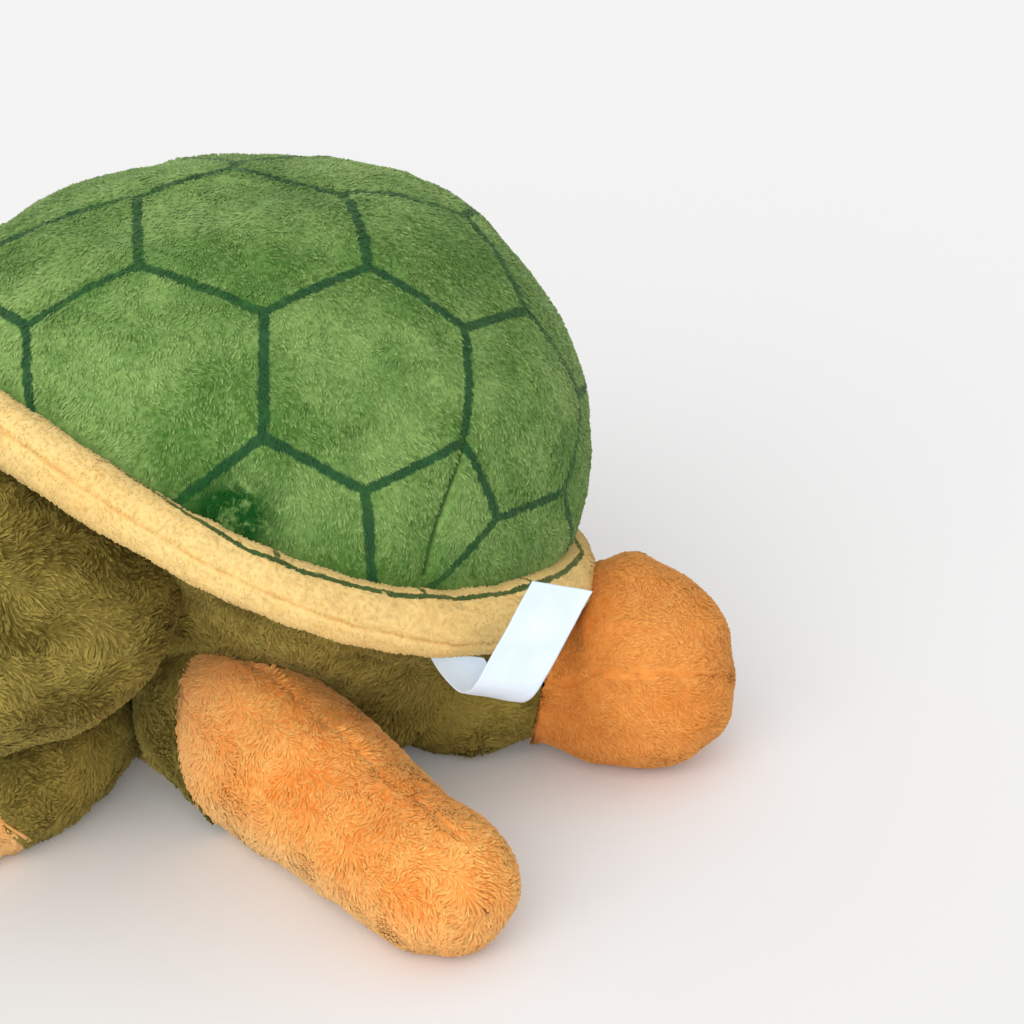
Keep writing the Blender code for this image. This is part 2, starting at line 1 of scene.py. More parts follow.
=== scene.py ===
"""Looks of the plush turtle: pile, print, seams and stuffed forms around the fixed frame.

World axes: +X is the turtle's left, -Y is where it looks, +Z is up, in metres. The stuffed forms
follow the same formulas as the solids that they replace. Long pile is real mesh: closed tufts that
lie along a swirled flow over each form.
"""
import math
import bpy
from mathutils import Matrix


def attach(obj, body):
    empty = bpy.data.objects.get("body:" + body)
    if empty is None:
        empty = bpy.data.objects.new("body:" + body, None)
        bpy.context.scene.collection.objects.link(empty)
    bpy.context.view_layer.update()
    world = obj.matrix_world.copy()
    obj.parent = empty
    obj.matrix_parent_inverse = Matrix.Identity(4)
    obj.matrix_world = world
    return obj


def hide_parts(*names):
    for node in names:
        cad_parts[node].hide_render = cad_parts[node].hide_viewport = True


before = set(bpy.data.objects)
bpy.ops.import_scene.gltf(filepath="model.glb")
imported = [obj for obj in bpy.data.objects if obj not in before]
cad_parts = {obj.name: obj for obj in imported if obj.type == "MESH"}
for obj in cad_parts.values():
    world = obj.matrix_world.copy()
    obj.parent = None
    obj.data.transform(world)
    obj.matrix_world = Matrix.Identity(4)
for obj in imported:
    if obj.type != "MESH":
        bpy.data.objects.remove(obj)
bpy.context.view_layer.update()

from types import SimpleNamespace

import bpy
import numpy as np
from mathutils import Vector

MM = 0.001

# Camera of the photograph
view_azimuth = math.radians(42)
view_elevation = math.radians(24)
view_right = 97.14 * MM
view_height = 83 * MM
view_distance = 950 * MM
view_range = (0.01, 50)
film_width = 36
# The lens, in pixels of a picture 1024 pixels wide, as it was fitted to the photograph
lens_pixels = 2660
photo_pixels = 1024
lens_length = film_width * lens_pixels / photo_pixels

# Shell, rim and body sizes, as in the solids
shell_half = np.array((121, 124, 106)) * MM
shell_fullness = 2.2
shell_centre = np.array((0, 0, 102)) * MM
rim_tube_half = np.array((10, 11)) * MM
rim_stand_off = 5 * MM
rim_rear_height = 54 * MM
rim_slope_rise = 55.8 * MM
rim_neck_rise = 46.5 * MM
rim_neck_power = 2.3
body_top_inset = 3.5 * MM
body_swell = 9 * MM
body_flare = 1.35
belly_half_width = 61 * MM
belly_front_reach = 53 * MM
belly_rear_reach = 70 * MM
belly_edge_height = 7 * MM
belly_flat_share = 0.84
belly_thickness = 2.4 * MM

# Head, limbs and tail
head_pivot = np.array((0, -110, 91)) * MM
head_half = np.array((57, 49.5)) * MM
head_reach = 76 * MM

UP = np.array((0.0, 0.0, 1.0))


def unit(v):
    """Vectors of length one."""
    return v / np.maximum(np.linalg.norm(v, axis=-1, keepdims=True), 1e-12)


def level_unit(v):
    """Level directions of length one."""
    return unit(v * np.array((1, 1, 0)))


def bell(x, width):
    """Bell curve of height 1 round zero."""
    return np.exp(-(x / width) ** 2)


def smooth(x, low, high):
    """Smooth step from 0 at low to 1 at high."""
    t = np.clip((x - low) / (high - low), 0, 1)
    return t * t * (3 - 2 * t)


def waves(points, length, seed, count=14):
    """Smooth noise of about -1 to 1 with a wavelength, as a sum of plane waves."""
    rng = np.random.default_rng(seed)
    aims = unit(rng.normal(size=(count, 3)))
    rates = 2 * math.pi / length * rng.uniform(0.6, 1.5, count)
    phases = rng.uniform(0, 2 * math.pi, count)
    total = np.zeros(points.shape[:-1])
    for aim, rate, phase in zip(aims, rates, phases):
        total += np.sin(points @ (aim * rate) + phase)
    return total / math.sqrt(count)


def build_mesh(name, verts, corners, sizes, uv=None, values=None):
    """Mesh from arrays: vertices, face corners, corners per face, UV per corner, values per vertex."""
    mesh = bpy.data.meshes.new(name)
    mesh.vertices.add(len(verts))
    mesh.vertices.foreach_set("co", np.asarray(verts, np.float32).ravel())
    mesh.loops.add(len(corners))
    mesh.loops.foreach_set("vertex_index", np.asarray(corners, np.int32))
    mesh.polygons.add(len(sizes))
    starts = np.concatenate(([0], np.cumsum(sizes)[:-1]))
    mesh.polygons.foreach_set("loop_start", starts.astype(np.int32))
    mesh.update(calc_edges=True)
    if uv is not None:
        layer = mesh.uv_layers.new(name="OFBake")
        layer.data.foreach_set("uv", np.asarray(uv, np.float32).ravel())
    for key, column in (values or {}).items():
        slot = mesh.attributes.new(key, "FLOAT", "POINT")
        slot.data.foreach_set("value", np.asarray(column, np.float32).ravel())
    mesh.validate()
    mesh.shade_smooth()
    return mesh


def add_object(name, data, material=None):
    """Link a mesh with its material, a lamp or a camera as an object."""
    thing = bpy.data.objects.new(name, data)
    bpy.context.scene.collection.objects.link(thing)
    if material:
        data.materials.append(material)
    return thing


def add_piece(name, mesh, material, body, nodes=()):
    """Add a piece that rides on a body, and hide the solids that it stands for."""
    piece = add_object(name, mesh, material)
    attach(piece, body)
    if nodes:
        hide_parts(*nodes)
    return piece


class Grid:
    """Closed surface through rows of points, with a pole before the first and after the last row."""

    def __init__(self, rows, start, end):
        self.rows = np.asarray(rows, float)
        self.count, self.around = self.rows.shape[:2]
        self.verts = np.concatenate((self.rows.reshape(-1, 3), [start], [end]))
        k = np.arange(self.around)
        n = (k + 1) % self.around
        base = np.arange(self.count - 1)[:, None] * self.around
        quads = np.stack((base + k, base + n, base + n + self.around, base + k + self.around), -1)
        last = (self.count - 1) * self.around
        size = self.count * self.around
        caps = (np.stack((n, k, k * 0 + size), -1), np.stack((last + k, last + n, k * 0 + size + 1), -1))
        self.quads = quads.reshape(-1, 4)
        self.caps = np.concatenate(caps)
        a, b, c = (self.verts[self.quads[:, i]] for i in (0, 1, 2))
        middle = self.verts.mean(0)
        facing = (np.cross(b - a, c - a) * (a - middle)).sum()
        if facing < 0:
            self.quads = self.quads[:, ::-1]
            self.caps = self.caps[:, ::-1]

    def triangles(self):
        """All faces as triangles."""
        q = self.quads
        return np.concatenate((q[:, (0, 1, 2)], q[:, (0, 2, 3)], self.caps))

    def normals(self):
        """Smooth normals at the vertices."""
        t = self.triangles()
        a, b, c = (self.verts[t[:, i]] for i in range(3))
        cross = np.cross(b - a, c - a)
        total = np.zeros_like(self.verts)
        for i in range(3):
            np.add.at(total, t[:, i], cross)
        return unit(total)

    def angles(self):
        """Angle round the section at each vertex."""
        return turns(self.around)[np.arange(len(self.verts)) % self.around]

    def push(self, amount):
        """Move the vertices along their normals."""
        self.verts = self.verts + self.normals() * np.asarray(amount)[:, None]

    def mesh(self, name, values=None):
        """Mesh of the surface, with values stored at its vertices."""
        corners = np.concatenate((self.quads.ravel(), self.caps.ravel()))
        sizes = np.concatenate((np.full(len(self.quads), 4), np.full(len(self.caps), 3)))
        return build_mesh(name, self.verts, corners, sizes, values=values)


class Ring(Grid):
    """Tube that closes on itself, through rows of points round its section."""

    def __init__(self, rows):
        self.count, self.around = rows.shape[:2]
        self.verts = rows.reshape(-1, 3)
        i = np.arange(self.count)[:, None] * self.around
        j = (np.arange(self.count)[:, None] + 1) % self.count * self.around
        k = np.arange(self.around)
        n = (k + 1) % self.around
        self.quads = np.stack((i + k, j + k, j + n, i + n), -1).reshape(-1, 4)
        self.caps = np.zeros((0, 3), int)


def turns(count):
    """Angles round a full circle."""
    return 2 * math.pi * np.arange(count) / count


def plan_direction(turn):
    """Level direction at an angle from the front, counted towards the turtle's left."""
    return np.stack((np.sin(turn), -np.cos(turn), np.zeros_like(turn)), -1)


def at(direction, reach, height):
    """Points at a level distance along directions and at a height."""
    reach, height = np.broadcast_arrays(reach, height)
    return direction * reach[..., None] + UP * height[..., None]


def rim_height(turn):
    """Height of the rim tube's middle."""
    front = np.cos(turn)
    neck = np.maximum(0, front) ** rim_neck_power
    return rim_rear_height + rim_slope_rise * (1 + front) / 2 + rim_neck_rise * neck


def shell_radius(turn, height):
    """Level distance from the shell's axis to its surface."""
    rise = (height - shell_centre[2]) / shell_half[2]
    power = np.where(rise > 0, shell_fullness, 2.0)
    girth = np.hypot(shell_half[0] * np.sin(turn), shell_half[1] * np.cos(turn))
    return girth * np.maximum(0, 1 - np.abs(rise) ** power) ** (1 / power)


def rim_radius(turn):
    """Level distance from the shell's axis to the rim tube's middle."""
    return shell_radius(turn, rim_height(turn)) + rim_stand_off


# Node materials

class Nodes:
    """Small helper that adds nodes to a tree and links them."""

    def __init__(self, tree):
        self.tree = tree

    def add(self, kind, settings=None, **inputs):
        """Add a node. Its inputs go by their names, or by their numbers as i0, i1 and so on."""
        node = self.tree.nodes.new(kind)
        for key, value in (settings or {}).items():
            setattr(node, key, value)
        for key, value in inputs.items():
            numbered = key[0] == "i" and key[1:].isdigit()
            self.feed(node.inputs[int(key[1:]) if numbered else key], value)
        return node

    def feed(self, socket, value):
        if isinstance(value, bpy.types.NodeSocket):
            self.tree.links.new(value, socket)
        else:
            socket.default_value = value

    def math(self, operation, a, b=0.0, clamp=False):
        settings = {"operation": operation, "use_clamp": clamp}
        return self.add("ShaderNodeMath", settings, i0=a, i1=b).outputs[0]

    def show_mixed(self, share, first, second, output):
        """Send a mix of two shader nodes to the tree's output."""
        mix = self.add("ShaderNodeMixShader", i0=share, i1=first.outputs[0], i2=second.outputs[0])
        self.feed(self.tree.nodes[output].inputs["Surface"], mix.outputs[0])


class Shader(Nodes):
    """Material with a principled surface and the patterns that colour it."""

    def __init__(self, name):
        self.material = bpy.data.materials.new(name)
        self.material.use_nodes = True
        super().__init__(self.material.node_tree)
        self.surface = self.tree.nodes["Principled BSDF"]

    def set(self, **values):
        for key, value in values.items():
            self.feed(self.surface.inputs[key.replace("_", " ")], value)

    def place(self):
        return self.add("ShaderNodeNewGeometry").outputs["Position"]

    def stored(self, name):
        return self.add("ShaderNodeAttribute", {"attribute_name": name}).outputs["Fac"]

    def noise(self, scale, detail=2.0, rough=0.5):
        inputs = {"Scale": scale, "Detail": detail, "Roughness": rough, "Vector": self.place()}
        return self.add("ShaderNodeTexNoise", **inputs).outputs["Fac"]

    def span(self, value, low, high, start=0.0, end=1.0):
        """Smooth step from start to end while a value goes from low to high."""
        inputs = {"Value": value, "From Min": low, "From Max": high, "To Min": start, "To Max": end}
        node = self.add("ShaderNodeMapRange", {"interpolation_type": "SMOOTHSTEP"}, **inputs)
        return node.outputs["Result"]

    def mix(self, share, a, b):
        return self.add("ShaderNodeMix", {"data_type": "RGBA"}, i0=share, i6=a, i7=b).outputs[2]

    def bump(self, height, strength, distance):
        node = self.add("ShaderNodeBump", Strength=strength, Distance=distance, Height=height)
        self.feed(self.surface.inputs["Normal"], node.outputs["Normal"])


def linear(*rgb):
    """Colour of the renderer from 0-255 screen values."""
    shares = [value / 255 for value in rgb]
    return (*(c / 12.92 if c <= 0.04045 else ((c + 0.055) / 1.055) ** 2.4 for c in shares), 1.0)


def pile_material(name, dark, light, pale, sheen, mottle):
    """Long pile: a little darker at its roots and lighter at its tips as painted shade, with brushed
    patches and painted light.
    """
    look = Shader(name)
    patches = look.noise(38.0, 3.0, 0.6)
    tone = look.math("ADD", look.stored("tone"), look.span(patches, 0.3, 0.7, -mottle, mottle))
    fine = look.noise(650.0, 2.0, 0.55)
    tone = look.math("ADD", tone, look.span(fine, 0.3, 0.7, -0.13, 0.13), clamp=True)
    colour = look.mix(tone, dark, light)
    # Painted light: the pile turns paler by the stored share, low on a limb and near its seam
    colour = look.mix(look.math("MULTIPLY", look.stored("pale"), 0.75), colour, pale)
    look.set(Base_Color=colour, Roughness=0.95, Specular_IOR_Level=0.1)
    look.set(Sheen_Weight=sheen, Sheen_Roughness=0.5, Sheen_Tint=pale)
    look.bump(fine, 0.35, 0.4 * MM)
    return look.material


def short_pile(name, dark, light, mottle=0.15):
    """Start of a short brushed pile's look, and its plain colour."""
    look = Shader(name)
    fine = look.noise(620.0, 3.0, 0.6)
    patches = look.noise(24.0, 4.0, 0.6)
    tone = look.math("ADD", look.stored("tone"), look.span(fine, 0.3, 0.7, -0.2, 0.2))
    tone = look.math("ADD", tone, look.span(patches, 0.3, 0.7, -mottle, mottle), clamp=True)
    look.bump(fine, 0.5, 0.5 * MM)
    return look, look.mix(tone, dark, light)


def finish_pile(look, colour, light):
    """Give a short pile its final colour and its matte finish."""
    look.set(Base_Color=colour, Roughness=0.92, Specular_IOR_Level=0.12)
    look.set(Sheen_Weight=0.5, Sheen_Roughness=0.45, Sheen_Tint=light)
    return look.material


def green_material():
    """Shell cloth: the hexagon print, a brushed dark patch and painted shade along the dart's crease."""
    look, colour = short_pile("green_short_pile", green_dark, green_light, 0.32)
    wobble = look.span(look.noise(420.0, 3.0), 0.25, 0.75, -0.5, 0.5)
    edge = look.math("ADD", look.stored("line"), wobble)
    inked = look.math("MULTIPLY", look.span(edge, 1.2, 2.2, 1.0, 0.0), 0.93)
    colour = look.mix(inked, colour, ink)
    shade = look.span(look.noise(33.0, 4.0, 0.65), 0.5, 0.72, 0.0, 0.5)
    colour = look.mix(shade, colour, green_shade)
    soft = look.span(look.noise(110.0, 4.0, 0.7), 0.3, 0.52)
    colour = look.mix(look.math("MULTIPLY", look.stored("brushed"), soft), colour, green_brushed)
    # Painted shade along the sewn dart's crease
    colour = look.mix(look.span(look.stored("dart"), 0.5, 1.3, 0.85, 0.0), colour, green_dart_shade)
    return finish_pile(look, colour, green_sheen)


def cream_material():
    """Rim cloth: painted shade along the fold's groove in a deeper yellow, and the thin printed line under
    the shell's edge.
    """
    look, colour = short_pile("cream_short_pile", cream_dark, cream_light)
    wobble = look.span(look.noise(300.0, 3.0), 0.25, 0.75, -0.4, 0.4)
    # Painted shade in the fold's groove: a deeper yellow along the seam, broken into dashes
    away = look.math("ABSOLUTE", look.math("ADD", look.stored("fold"), wobble))
    dashes = look.span(look.noise(130.0, 3.0), 0.34, 0.6, 0.35, 1.0)
    fold_shade = look.math("MULTIPLY", look.span(away, 0.1, 1.3, 0.7, 0.0), dashes)
    colour = look.mix(fold_shade, colour, cream_fold_shade)
    away = look.math("ABSOLUTE", look.math("ADD", look.stored("line"), wobble))
    gaps = look.span(look.noise(170.0, 3.0), 0.22, 0.3)
    printed = look.math("MULTIPLY", look.span(away, 0.8, 1.25, 0.96, 0.0), gaps)
    colour = look.mix(printed, colour, rim_ink)
    return finish_pile(look, colour, cream_light)


def tan_material():
    look, colour = short_pile("tan_short_pile", tan_dark, tan_light)
    return finish_pile(look, colour, tan_light)


olive_dark, olive_light, olive_pale = linear(84, 72, 24), linear(166, 149, 74), linear(176, 164, 104)
orange_dark, orange_light, orange_pale = linear(246, 134, 44), linear(255, 196, 112), linear(255, 212, 146)
foot_dark, foot_light, foot_pale = linear(226, 131, 50), linear(252, 177, 95), linear(255, 206, 136)
green_dark, green_light, green_sheen = linear(74, 113, 46), linear(151, 182, 106), linear(186, 206, 150)
green_shade, green_brushed, green_dart_shade = linear(66, 116, 46), linear(18, 74, 24), linear(44, 78, 34)
cream_dark, cream_light, cream_fold_shade = linear(235, 190, 113), linear(246, 219, 150), linear(222, 168, 92)
tan_dark, tan_light = linear(150, 118, 66), linear(205, 168, 108)
ink, rim_ink = linear(34, 80, 48), linear(34, 84, 38)
olive = pile_material("olive_pile", olive_dark, olive_light, olive_pale, 0.35, 0.3)
orange = pile_material("orange_pile", orange_dark, orange_light, orange_pale, 0.5, 0.17)
foot_look = pile_material("foot_pile", foot_dark, foot_light, foot_pale, 0.4, 0.15)
green = green_material()
cream = cream_material()
tan_look = tan_material()


# Pile

# Tufts in one piece: with ten triangles each they stay below 200,000, where a mesh would be thinned out
tufts_per_piece = 19800
tuft_root_depth = 0.5 * MM
lowest_tuft = 0.15 * MM
# Steps from a tuft's root to its tip: share of its length, share of its bend and of its rise
tuft_steps = ((0.76, -0.4, 1.5), (0.24, 0.6, 0.0))
# How wide a tuft is at its root and at its shoulder, where it has three corners each, and one at its tip
tuft_girth_shares = (0.8, 0.95)
tuft_corners = 7


def scatter(grid, number, keep, rng):
    """Random places on a grid's surface, and the normals there."""
    t = grid.triangles()
    normals = grid.normals()
    a, b, c = (grid.verts[t[:, i]] for i in range(3))
    area = np.linalg.norm(np.cross(b - a, c - a), axis=1)
    if keep is not None:
        area = area * keep[t].min(axis=1)
    pick = rng.choice(len(t), number, p=area / area.sum())
    r1, r2 = np.sqrt(rng.random(number)), rng.random(number)
    share = np.stack((1 - r1, r1 * (1 - r2), r1 * r2), -1)[..., None]
    return (grid.verts[t[pick]] * share).sum(1), unit((normals[t[pick]] * share).sum(1))


def tuft_faces():
    """Faces of one tuft, and where their corners lie in its cell of the texture."""
    sides = [(k, (k + 1) % 3, (k + 1) % 3 + 3, k + 3) for k in range(3)]
    caps = [(3, 4, 6), (4, 5, 6), (5, 3, 6), (2, 1, 0)]
    x = (0.04, 0.34, 0.66, 0.96)
    low, high, top = 0.12, 0.7, 0.97
    cell = []
    for k in range(3):
        cell += [(x[k], low), (x[k + 1], low), (x[k + 1], high), (x[k], high)]
    for k in range(3):
        cell += [(x[k], high), (x[k + 1], high), ((x[k] + x[k + 1]) / 2, top)]
    cell += [(0.1, 0.02), (0.9, 0.02), (0.5, 0.1)]
    return sides + caps, np.array(cell)


def pile(name, grid, number, flow, keep=None, seed=1, length=4.3 * MM, width=0.42 * MM, lift=0.13,
         swirl=1.0, tones=(0.3, 0.56, 0.68), vary=0.12, values=None):
    """Closed tufts over a grid's surface, as named meshes.

    The flow is the way that they lie, or a function that gives it at their roots, and it swirls. The
    tones are those of a tuft's root, shoulder and tip; the darker root is painted shade deep in the pile.
    """
    rng = np.random.default_rng(seed)
    root, normal = scatter(grid, number, keep, rng)
    along = flow(root) if callable(flow) else flow
    along = unit(along - normal * (along * normal).sum(-1, keepdims=True))
    across = np.cross(normal, along)
    turn = swirl * (0.9 * waves(root, 34 * MM, seed + 5) + 0.75 * waves(root, 12 * MM, seed + 6))
    turn += rng.normal(0, 0.12, number)
    lay = along * np.cos(turn)[:, None] + across * np.sin(turn)[:, None]
    side = np.cross(normal, lay)
    reach = length * rng.uniform(0.75, 1.15, number) * (1 + 0.15 * waves(root, 14 * MM, seed + 7))
    rise = lift * rng.uniform(0.5, 1.5, number)
    bend = rng.normal(0, 0.16, number) + 0.5 * waves(root, 6 * MM, seed + 8)
    points = [root - normal * tuft_root_depth]
    place = root
    for reach_share, bend_share, rise_share in tuft_steps:
        sway = bend * bend_share
        climb = rise * rise_share
        ahead, aside = np.cos(sway) * np.cos(climb), np.sin(sway) * np.cos(climb)
        step = lay * ahead[:, None] + side * aside[:, None] + normal * np.sin(climb)[:, None]
        place = place + step * (reach * reach_share)[:, None]
        points.append(place)
    wide = width * rng.uniform(0.8, 1.2, number)
    turned = rng.uniform(0, 2 * math.pi, number)
    verts = np.zeros((number, tuft_corners, 3))
    smoothed = np.zeros((number, tuft_corners, 3))
    for k in range(3):
        angle = turned + 2 * math.pi * k / 3
        ring = side * np.cos(angle)[:, None] + np.cross(lay, side) * np.sin(angle)[:, None]
        for level, girth in enumerate(tuft_girth_shares):
            verts[:, 3 * level + k] = points[level] + ring * (wide * girth)[:, None]
            smoothed[:, 3 * level + k] = unit(ring + normal * 2.8)
    verts[:, -1] = points[-1]
    smoothed[:, -1] = unit(normal + lay * 0.3)
    verts[..., 2] += np.maximum(0, lowest_tuft - verts[..., 2].min(axis=1))[:, None]
    shade = rng.normal(0, vary, number) + 0.05 * waves(root, 5 * MM, seed + 9)
    points = verts.reshape(-1, 3)
    columns = {key: column(points).reshape(verts.shape[:2]) for key, column in (values or {}).items()}
    # Tone of each corner: darker at the root as painted shade deep in the pile, plus a random tone for each
    # tuft
    columns["tone"] = np.repeat(tones, (3, 3, 1)) + shade[:, None]
    faces, cell = tuft_faces()
    sizes = np.array([len(face) for face in faces])
    one = np.concatenate(faces)
    cells = math.ceil(math.sqrt(tufts_per_piece))
    meshes = []
    for first in range(0, number, tufts_per_piece):
        part = slice(first, min(number, first + tufts_per_piece))
        count = part.stop - part.start
        corners = one[None] + (np.arange(count) * tuft_corners)[:, None]
        spot = np.stack((np.arange(count) % cells, np.arange(count) // cells), -1) / cells
        uv = (spot[:, None, :] + cell[None] / cells).reshape(-1, 2)
        label = name if number <= tufts_per_piece else name + "_" + str(len(meshes) + 1)
        stored = {key: column[part].ravel() for key, column in columns.items()}
        points = verts[part].reshape(-1, 3)
        mesh = build_mesh(label, points, corners.ravel(), np.tile(sizes, count), uv, stored)
        mesh.normals_split_custom_set_from_vertices(smoothed[part].reshape(-1, 3))
        meshes.append((label, mesh))
    return meshes


def dress(grid, name, material, body, slot_name, nodes, tufts, flow, fill=0.8, base_tone=0.3, values=None,
          **look):
    """Show a stuffed form and its pile, and hide the solids that it stands for."""
    columns = {key: column(grid.verts) for key, column in (values or {}).items()}
    # The skin under the pile takes a low tone: painted shade between the roots of the tufts
    columns["tone"] = np.full(len(grid.verts), base_tone)
    add_piece(name, grid.mesh(name, columns), material, body, nodes)
    for label, mesh in pile(name + "_pile", grid, tufts, flow, values=values, **look):
        add_piece(label, mesh, material, body)


# Limb forms, as in the solids

class Limb:
    """Rounded root behind a pivot, a trunk that swells and bends, and a rounded tip."""

    def __init__(self, pivot, bend, tip, root, end, tip_reach, swell=0, change_share=0):
        self.pivot, self.bend, self.tip = (np.array(p, float) for p in (pivot, bend, tip))
        self.root, self.end = np.array(root), np.array(end)
        self.root_reach, self.tip_reach = root[0], tip_reach
        self.swell, self.change_share = swell, change_share
        places = self.middle(np.arange(13) / 12)[0]
        self.trunk = np.linalg.norm(np.diff(places, axis=0), axis=1).sum()

    def ease(self, share):
        late = np.maximum(0, share - self.change_share) / (1 - self.change_share)
        return late * late * (3 - 2 * late)

    def middle(self, share):
        """Places and level directions on the centre line."""
        s = np.asarray(share, float)[..., None]
        first = self.pivot + (self.bend - self.pivot) * s
        second = self.bend + (self.tip - self.bend) * s
        place = first + (second - first) * s
        place[..., 2] = self.pivot[2] + (self.tip[2] - self.pivot[2]) * self.ease(s[..., 0])
        line = second - first
        line[..., 2] = 0
        if np.abs(line).max() < 1e-9:
            line = line + np.array((0, -1.0, 0))
        return place, unit(line)

    def rows(self, distances, count):
        """Sections at distances from the pivot, each with its own distance for each angle."""
        share = np.clip(distances / self.trunk, 0, 1) if self.trunk else distances * 0 + 0.5
        place, direction = self.middle(share)
        size = self.root + (self.end - self.root) * self.ease(share)[..., None]
        wide = size[..., 0] + self.swell * np.sin(math.pi * share)
        beyond = np.maximum(0, distances - self.trunk)
        behind = np.minimum(0, distances)
        past = beyond / self.tip_reach + behind / self.root_reach
        scale = np.sqrt(np.maximum(0, 1 - past * past))
        angle = turns(count)
        across = np.cross(direction, UP) * (wide * scale * np.cos(angle))[..., None]
        lift = UP * (size[..., 1] * scale * np.sin(angle))[..., None]
        return place + direction * (beyond + behind)[..., None] + across + lift

    def spots(self, start, stop, step):
        """Distances from start to stop, denser over rounded ends."""
        first, last = max(start, 0), min(stop, self.trunk)
        parts = [np.linspace(first, last, max(2, round((last - first) / step)))]
        if start < 0:
            steps = max(4, round(self.root_reach * 1.6 / step))
            bow = -self.root_reach * np.cos(math.pi / 2 * np.arange(1, steps) / steps)
            parts.append(bow[bow > start - 1e-9])
        if stop > self.trunk:
            steps = max(4, round(self.tip_reach * 1.6 / step))
            parts.append(self.trunk + self.tip_reach * np.sin(math.pi / 2 * np.arange(1, steps) / steps))
        return np.unique(np.concatenate(parts))

    def part(self, start, stop, step, count, slant=0, slant_end=1):
        """Closed surface between two distances, with one end cut at a slant."""
        spots = self.spots(start, stop, step)
        share = (spots - start) / (stop - start)
        near = np.clip(share if slant_end == 1 else 1 - share, 0, 1) ** 3
        distances = spots[:, None] - slant * near[:, None] * np.sin(turns(count))[None]
        return Grid(self.rows(distances, count), self.end_point(start), self.end_point(stop))

    def end_point(self, distance):
        share = np.clip(distance / self.trunk, 0, 1) if self.trunk else 0.5
        place, direction = self.middle(np.array([share]))
        past = max(0, distance - self.trunk) + min(0, distance)
        return (place + direction * past)[0]


def limb(pivot, bend, tip, heights, root, end, tip_reach, swell=0, change_share=0):
    """Limb from places in plan, the heights of its two ends and its sizes, all in mm."""
    levels = (heights[0], heights[0], heights[1])
    points = [np.array((*place, level)) * MM for place, level in zip((pivot, bend, tip), levels)]
    sizes = [np.array(size) * MM for size in (root, end)]
    return Limb(*points, *sizes, tip_reach * MM, swell * MM, change_share)


arm_left = limb(pivot=(30, -48), bend=(88, -48), tip=(152, -60), heights=(28.8, 22.3), root=(22.8, 28),
                end=(22, 21.5), tip_reach=22, swell=1.2)
arm_right = limb(pivot=(-30, -50), bend=(40, -122), tip=(-36, -158), heights=(19.8, 19.8), root=(22.8, 19),
                 end=(20.5, 19), tip_reach=20.5, swell=1.2)
legs = {
    side: limb(pivot=(67 * sign, 40), bend=(95.5 * sign, 58), tip=(124 * sign, 76), heights=(26.3, 33.8),
               root=(27, 25.5), end=(34, 33), tip_reach=34, change_share=0.58)
    for side, sign in (("left", 1), ("right", -1))
}
tail = limb(pivot=(0, 76), bend=(0, 99), tip=(0, 122), heights=(25, 15), root=(15, 15), end=(6.5, 6.5),
            tip_reach=6.5)
head = Limb(head_pivot, head_pivot, head_pivot, head_half, head_half, head_reach)

# Tones of the sleeves' pile from its roots to its tips: as long pile, or paler as painted light on sleeves
# that lie in shade
plain_tones = (0.3, 0.56, 0.68)
painted_light_tones = (0.52, 0.78, 0.92)

# Each arm: where its seam lies and how it slants, how the cloth swells on top and in front, the side that
# its tip points to, where and how far from the pivot the cloth lies closer than the solid, and its sleeve
arms = {
    "left": SimpleNamespace(
        form=arm_left, seam=19 * MM, slant=11 * MM, top_swell=3.6 * MM, front_swell=0.6 * MM, tip_side=1,
        trim_way=(-0.2, -0.8, -0.55), trim_reach=30 * MM, sleeve_tufts=6500, sleeve_tones=plain_tones),
    "right": SimpleNamespace(
        # The right arm's sleeve takes the paler tones: painted light where it lies in the head's shade
        form=arm_right, seam=80 * MM, slant=-12 * MM, top_swell=0, front_swell=0, tip_side=-1,
        trim_way=(0.95, -0.2, -0.2), trim_reach=120 * MM, sleeve_tufts=13000, sleeve_tones=painted_light_tones),
}
arm_fullness = 2.2 * MM
arm_trim_depth = 4.5 * MM
arm_rear_trim = 1.2 * MM
arm_tip_swell = 2.5 * MM
arm_side_seam = math.radians(88)

# Each leg: how full its cloth is at the root and on its front, where its ankle seam lies, how it slants and
# is drawn in, and how full the foot is all over, on top, towards the ankle and at its upper edge
leg_root_fullness = 2.0 * MM
leg_front_swell = 1.5 * MM
leg_ankle = 34.5 * MM
leg_ankle_slant = -4.5 * MM
leg_ankle_pinch = 4.0 * MM
foot_fullness = 1.2 * MM
foot_top_swell = 6.0 * MM
foot_neck_swell = 3.5 * MM
foot_corner_trim = 5.0 * MM
foot_seams = {"left": math.radians(26), "right": math.radians(154)}

# Gap between the cloths on the two sides of a limb's seam, and the height of a limb's cloth on the floor
seam_gap = 0.3 * MM
floor_touch = 0.3 * MM

# Places of the head, in mm from its middle, where the stuffing fills it out, by how much and how widely
head_swells = (((44, 22, 0), 5), ((-44, 22, 0), 5), ((0, -36, 36), 4.5))
head_swell_spread = 32 * MM


# Shell

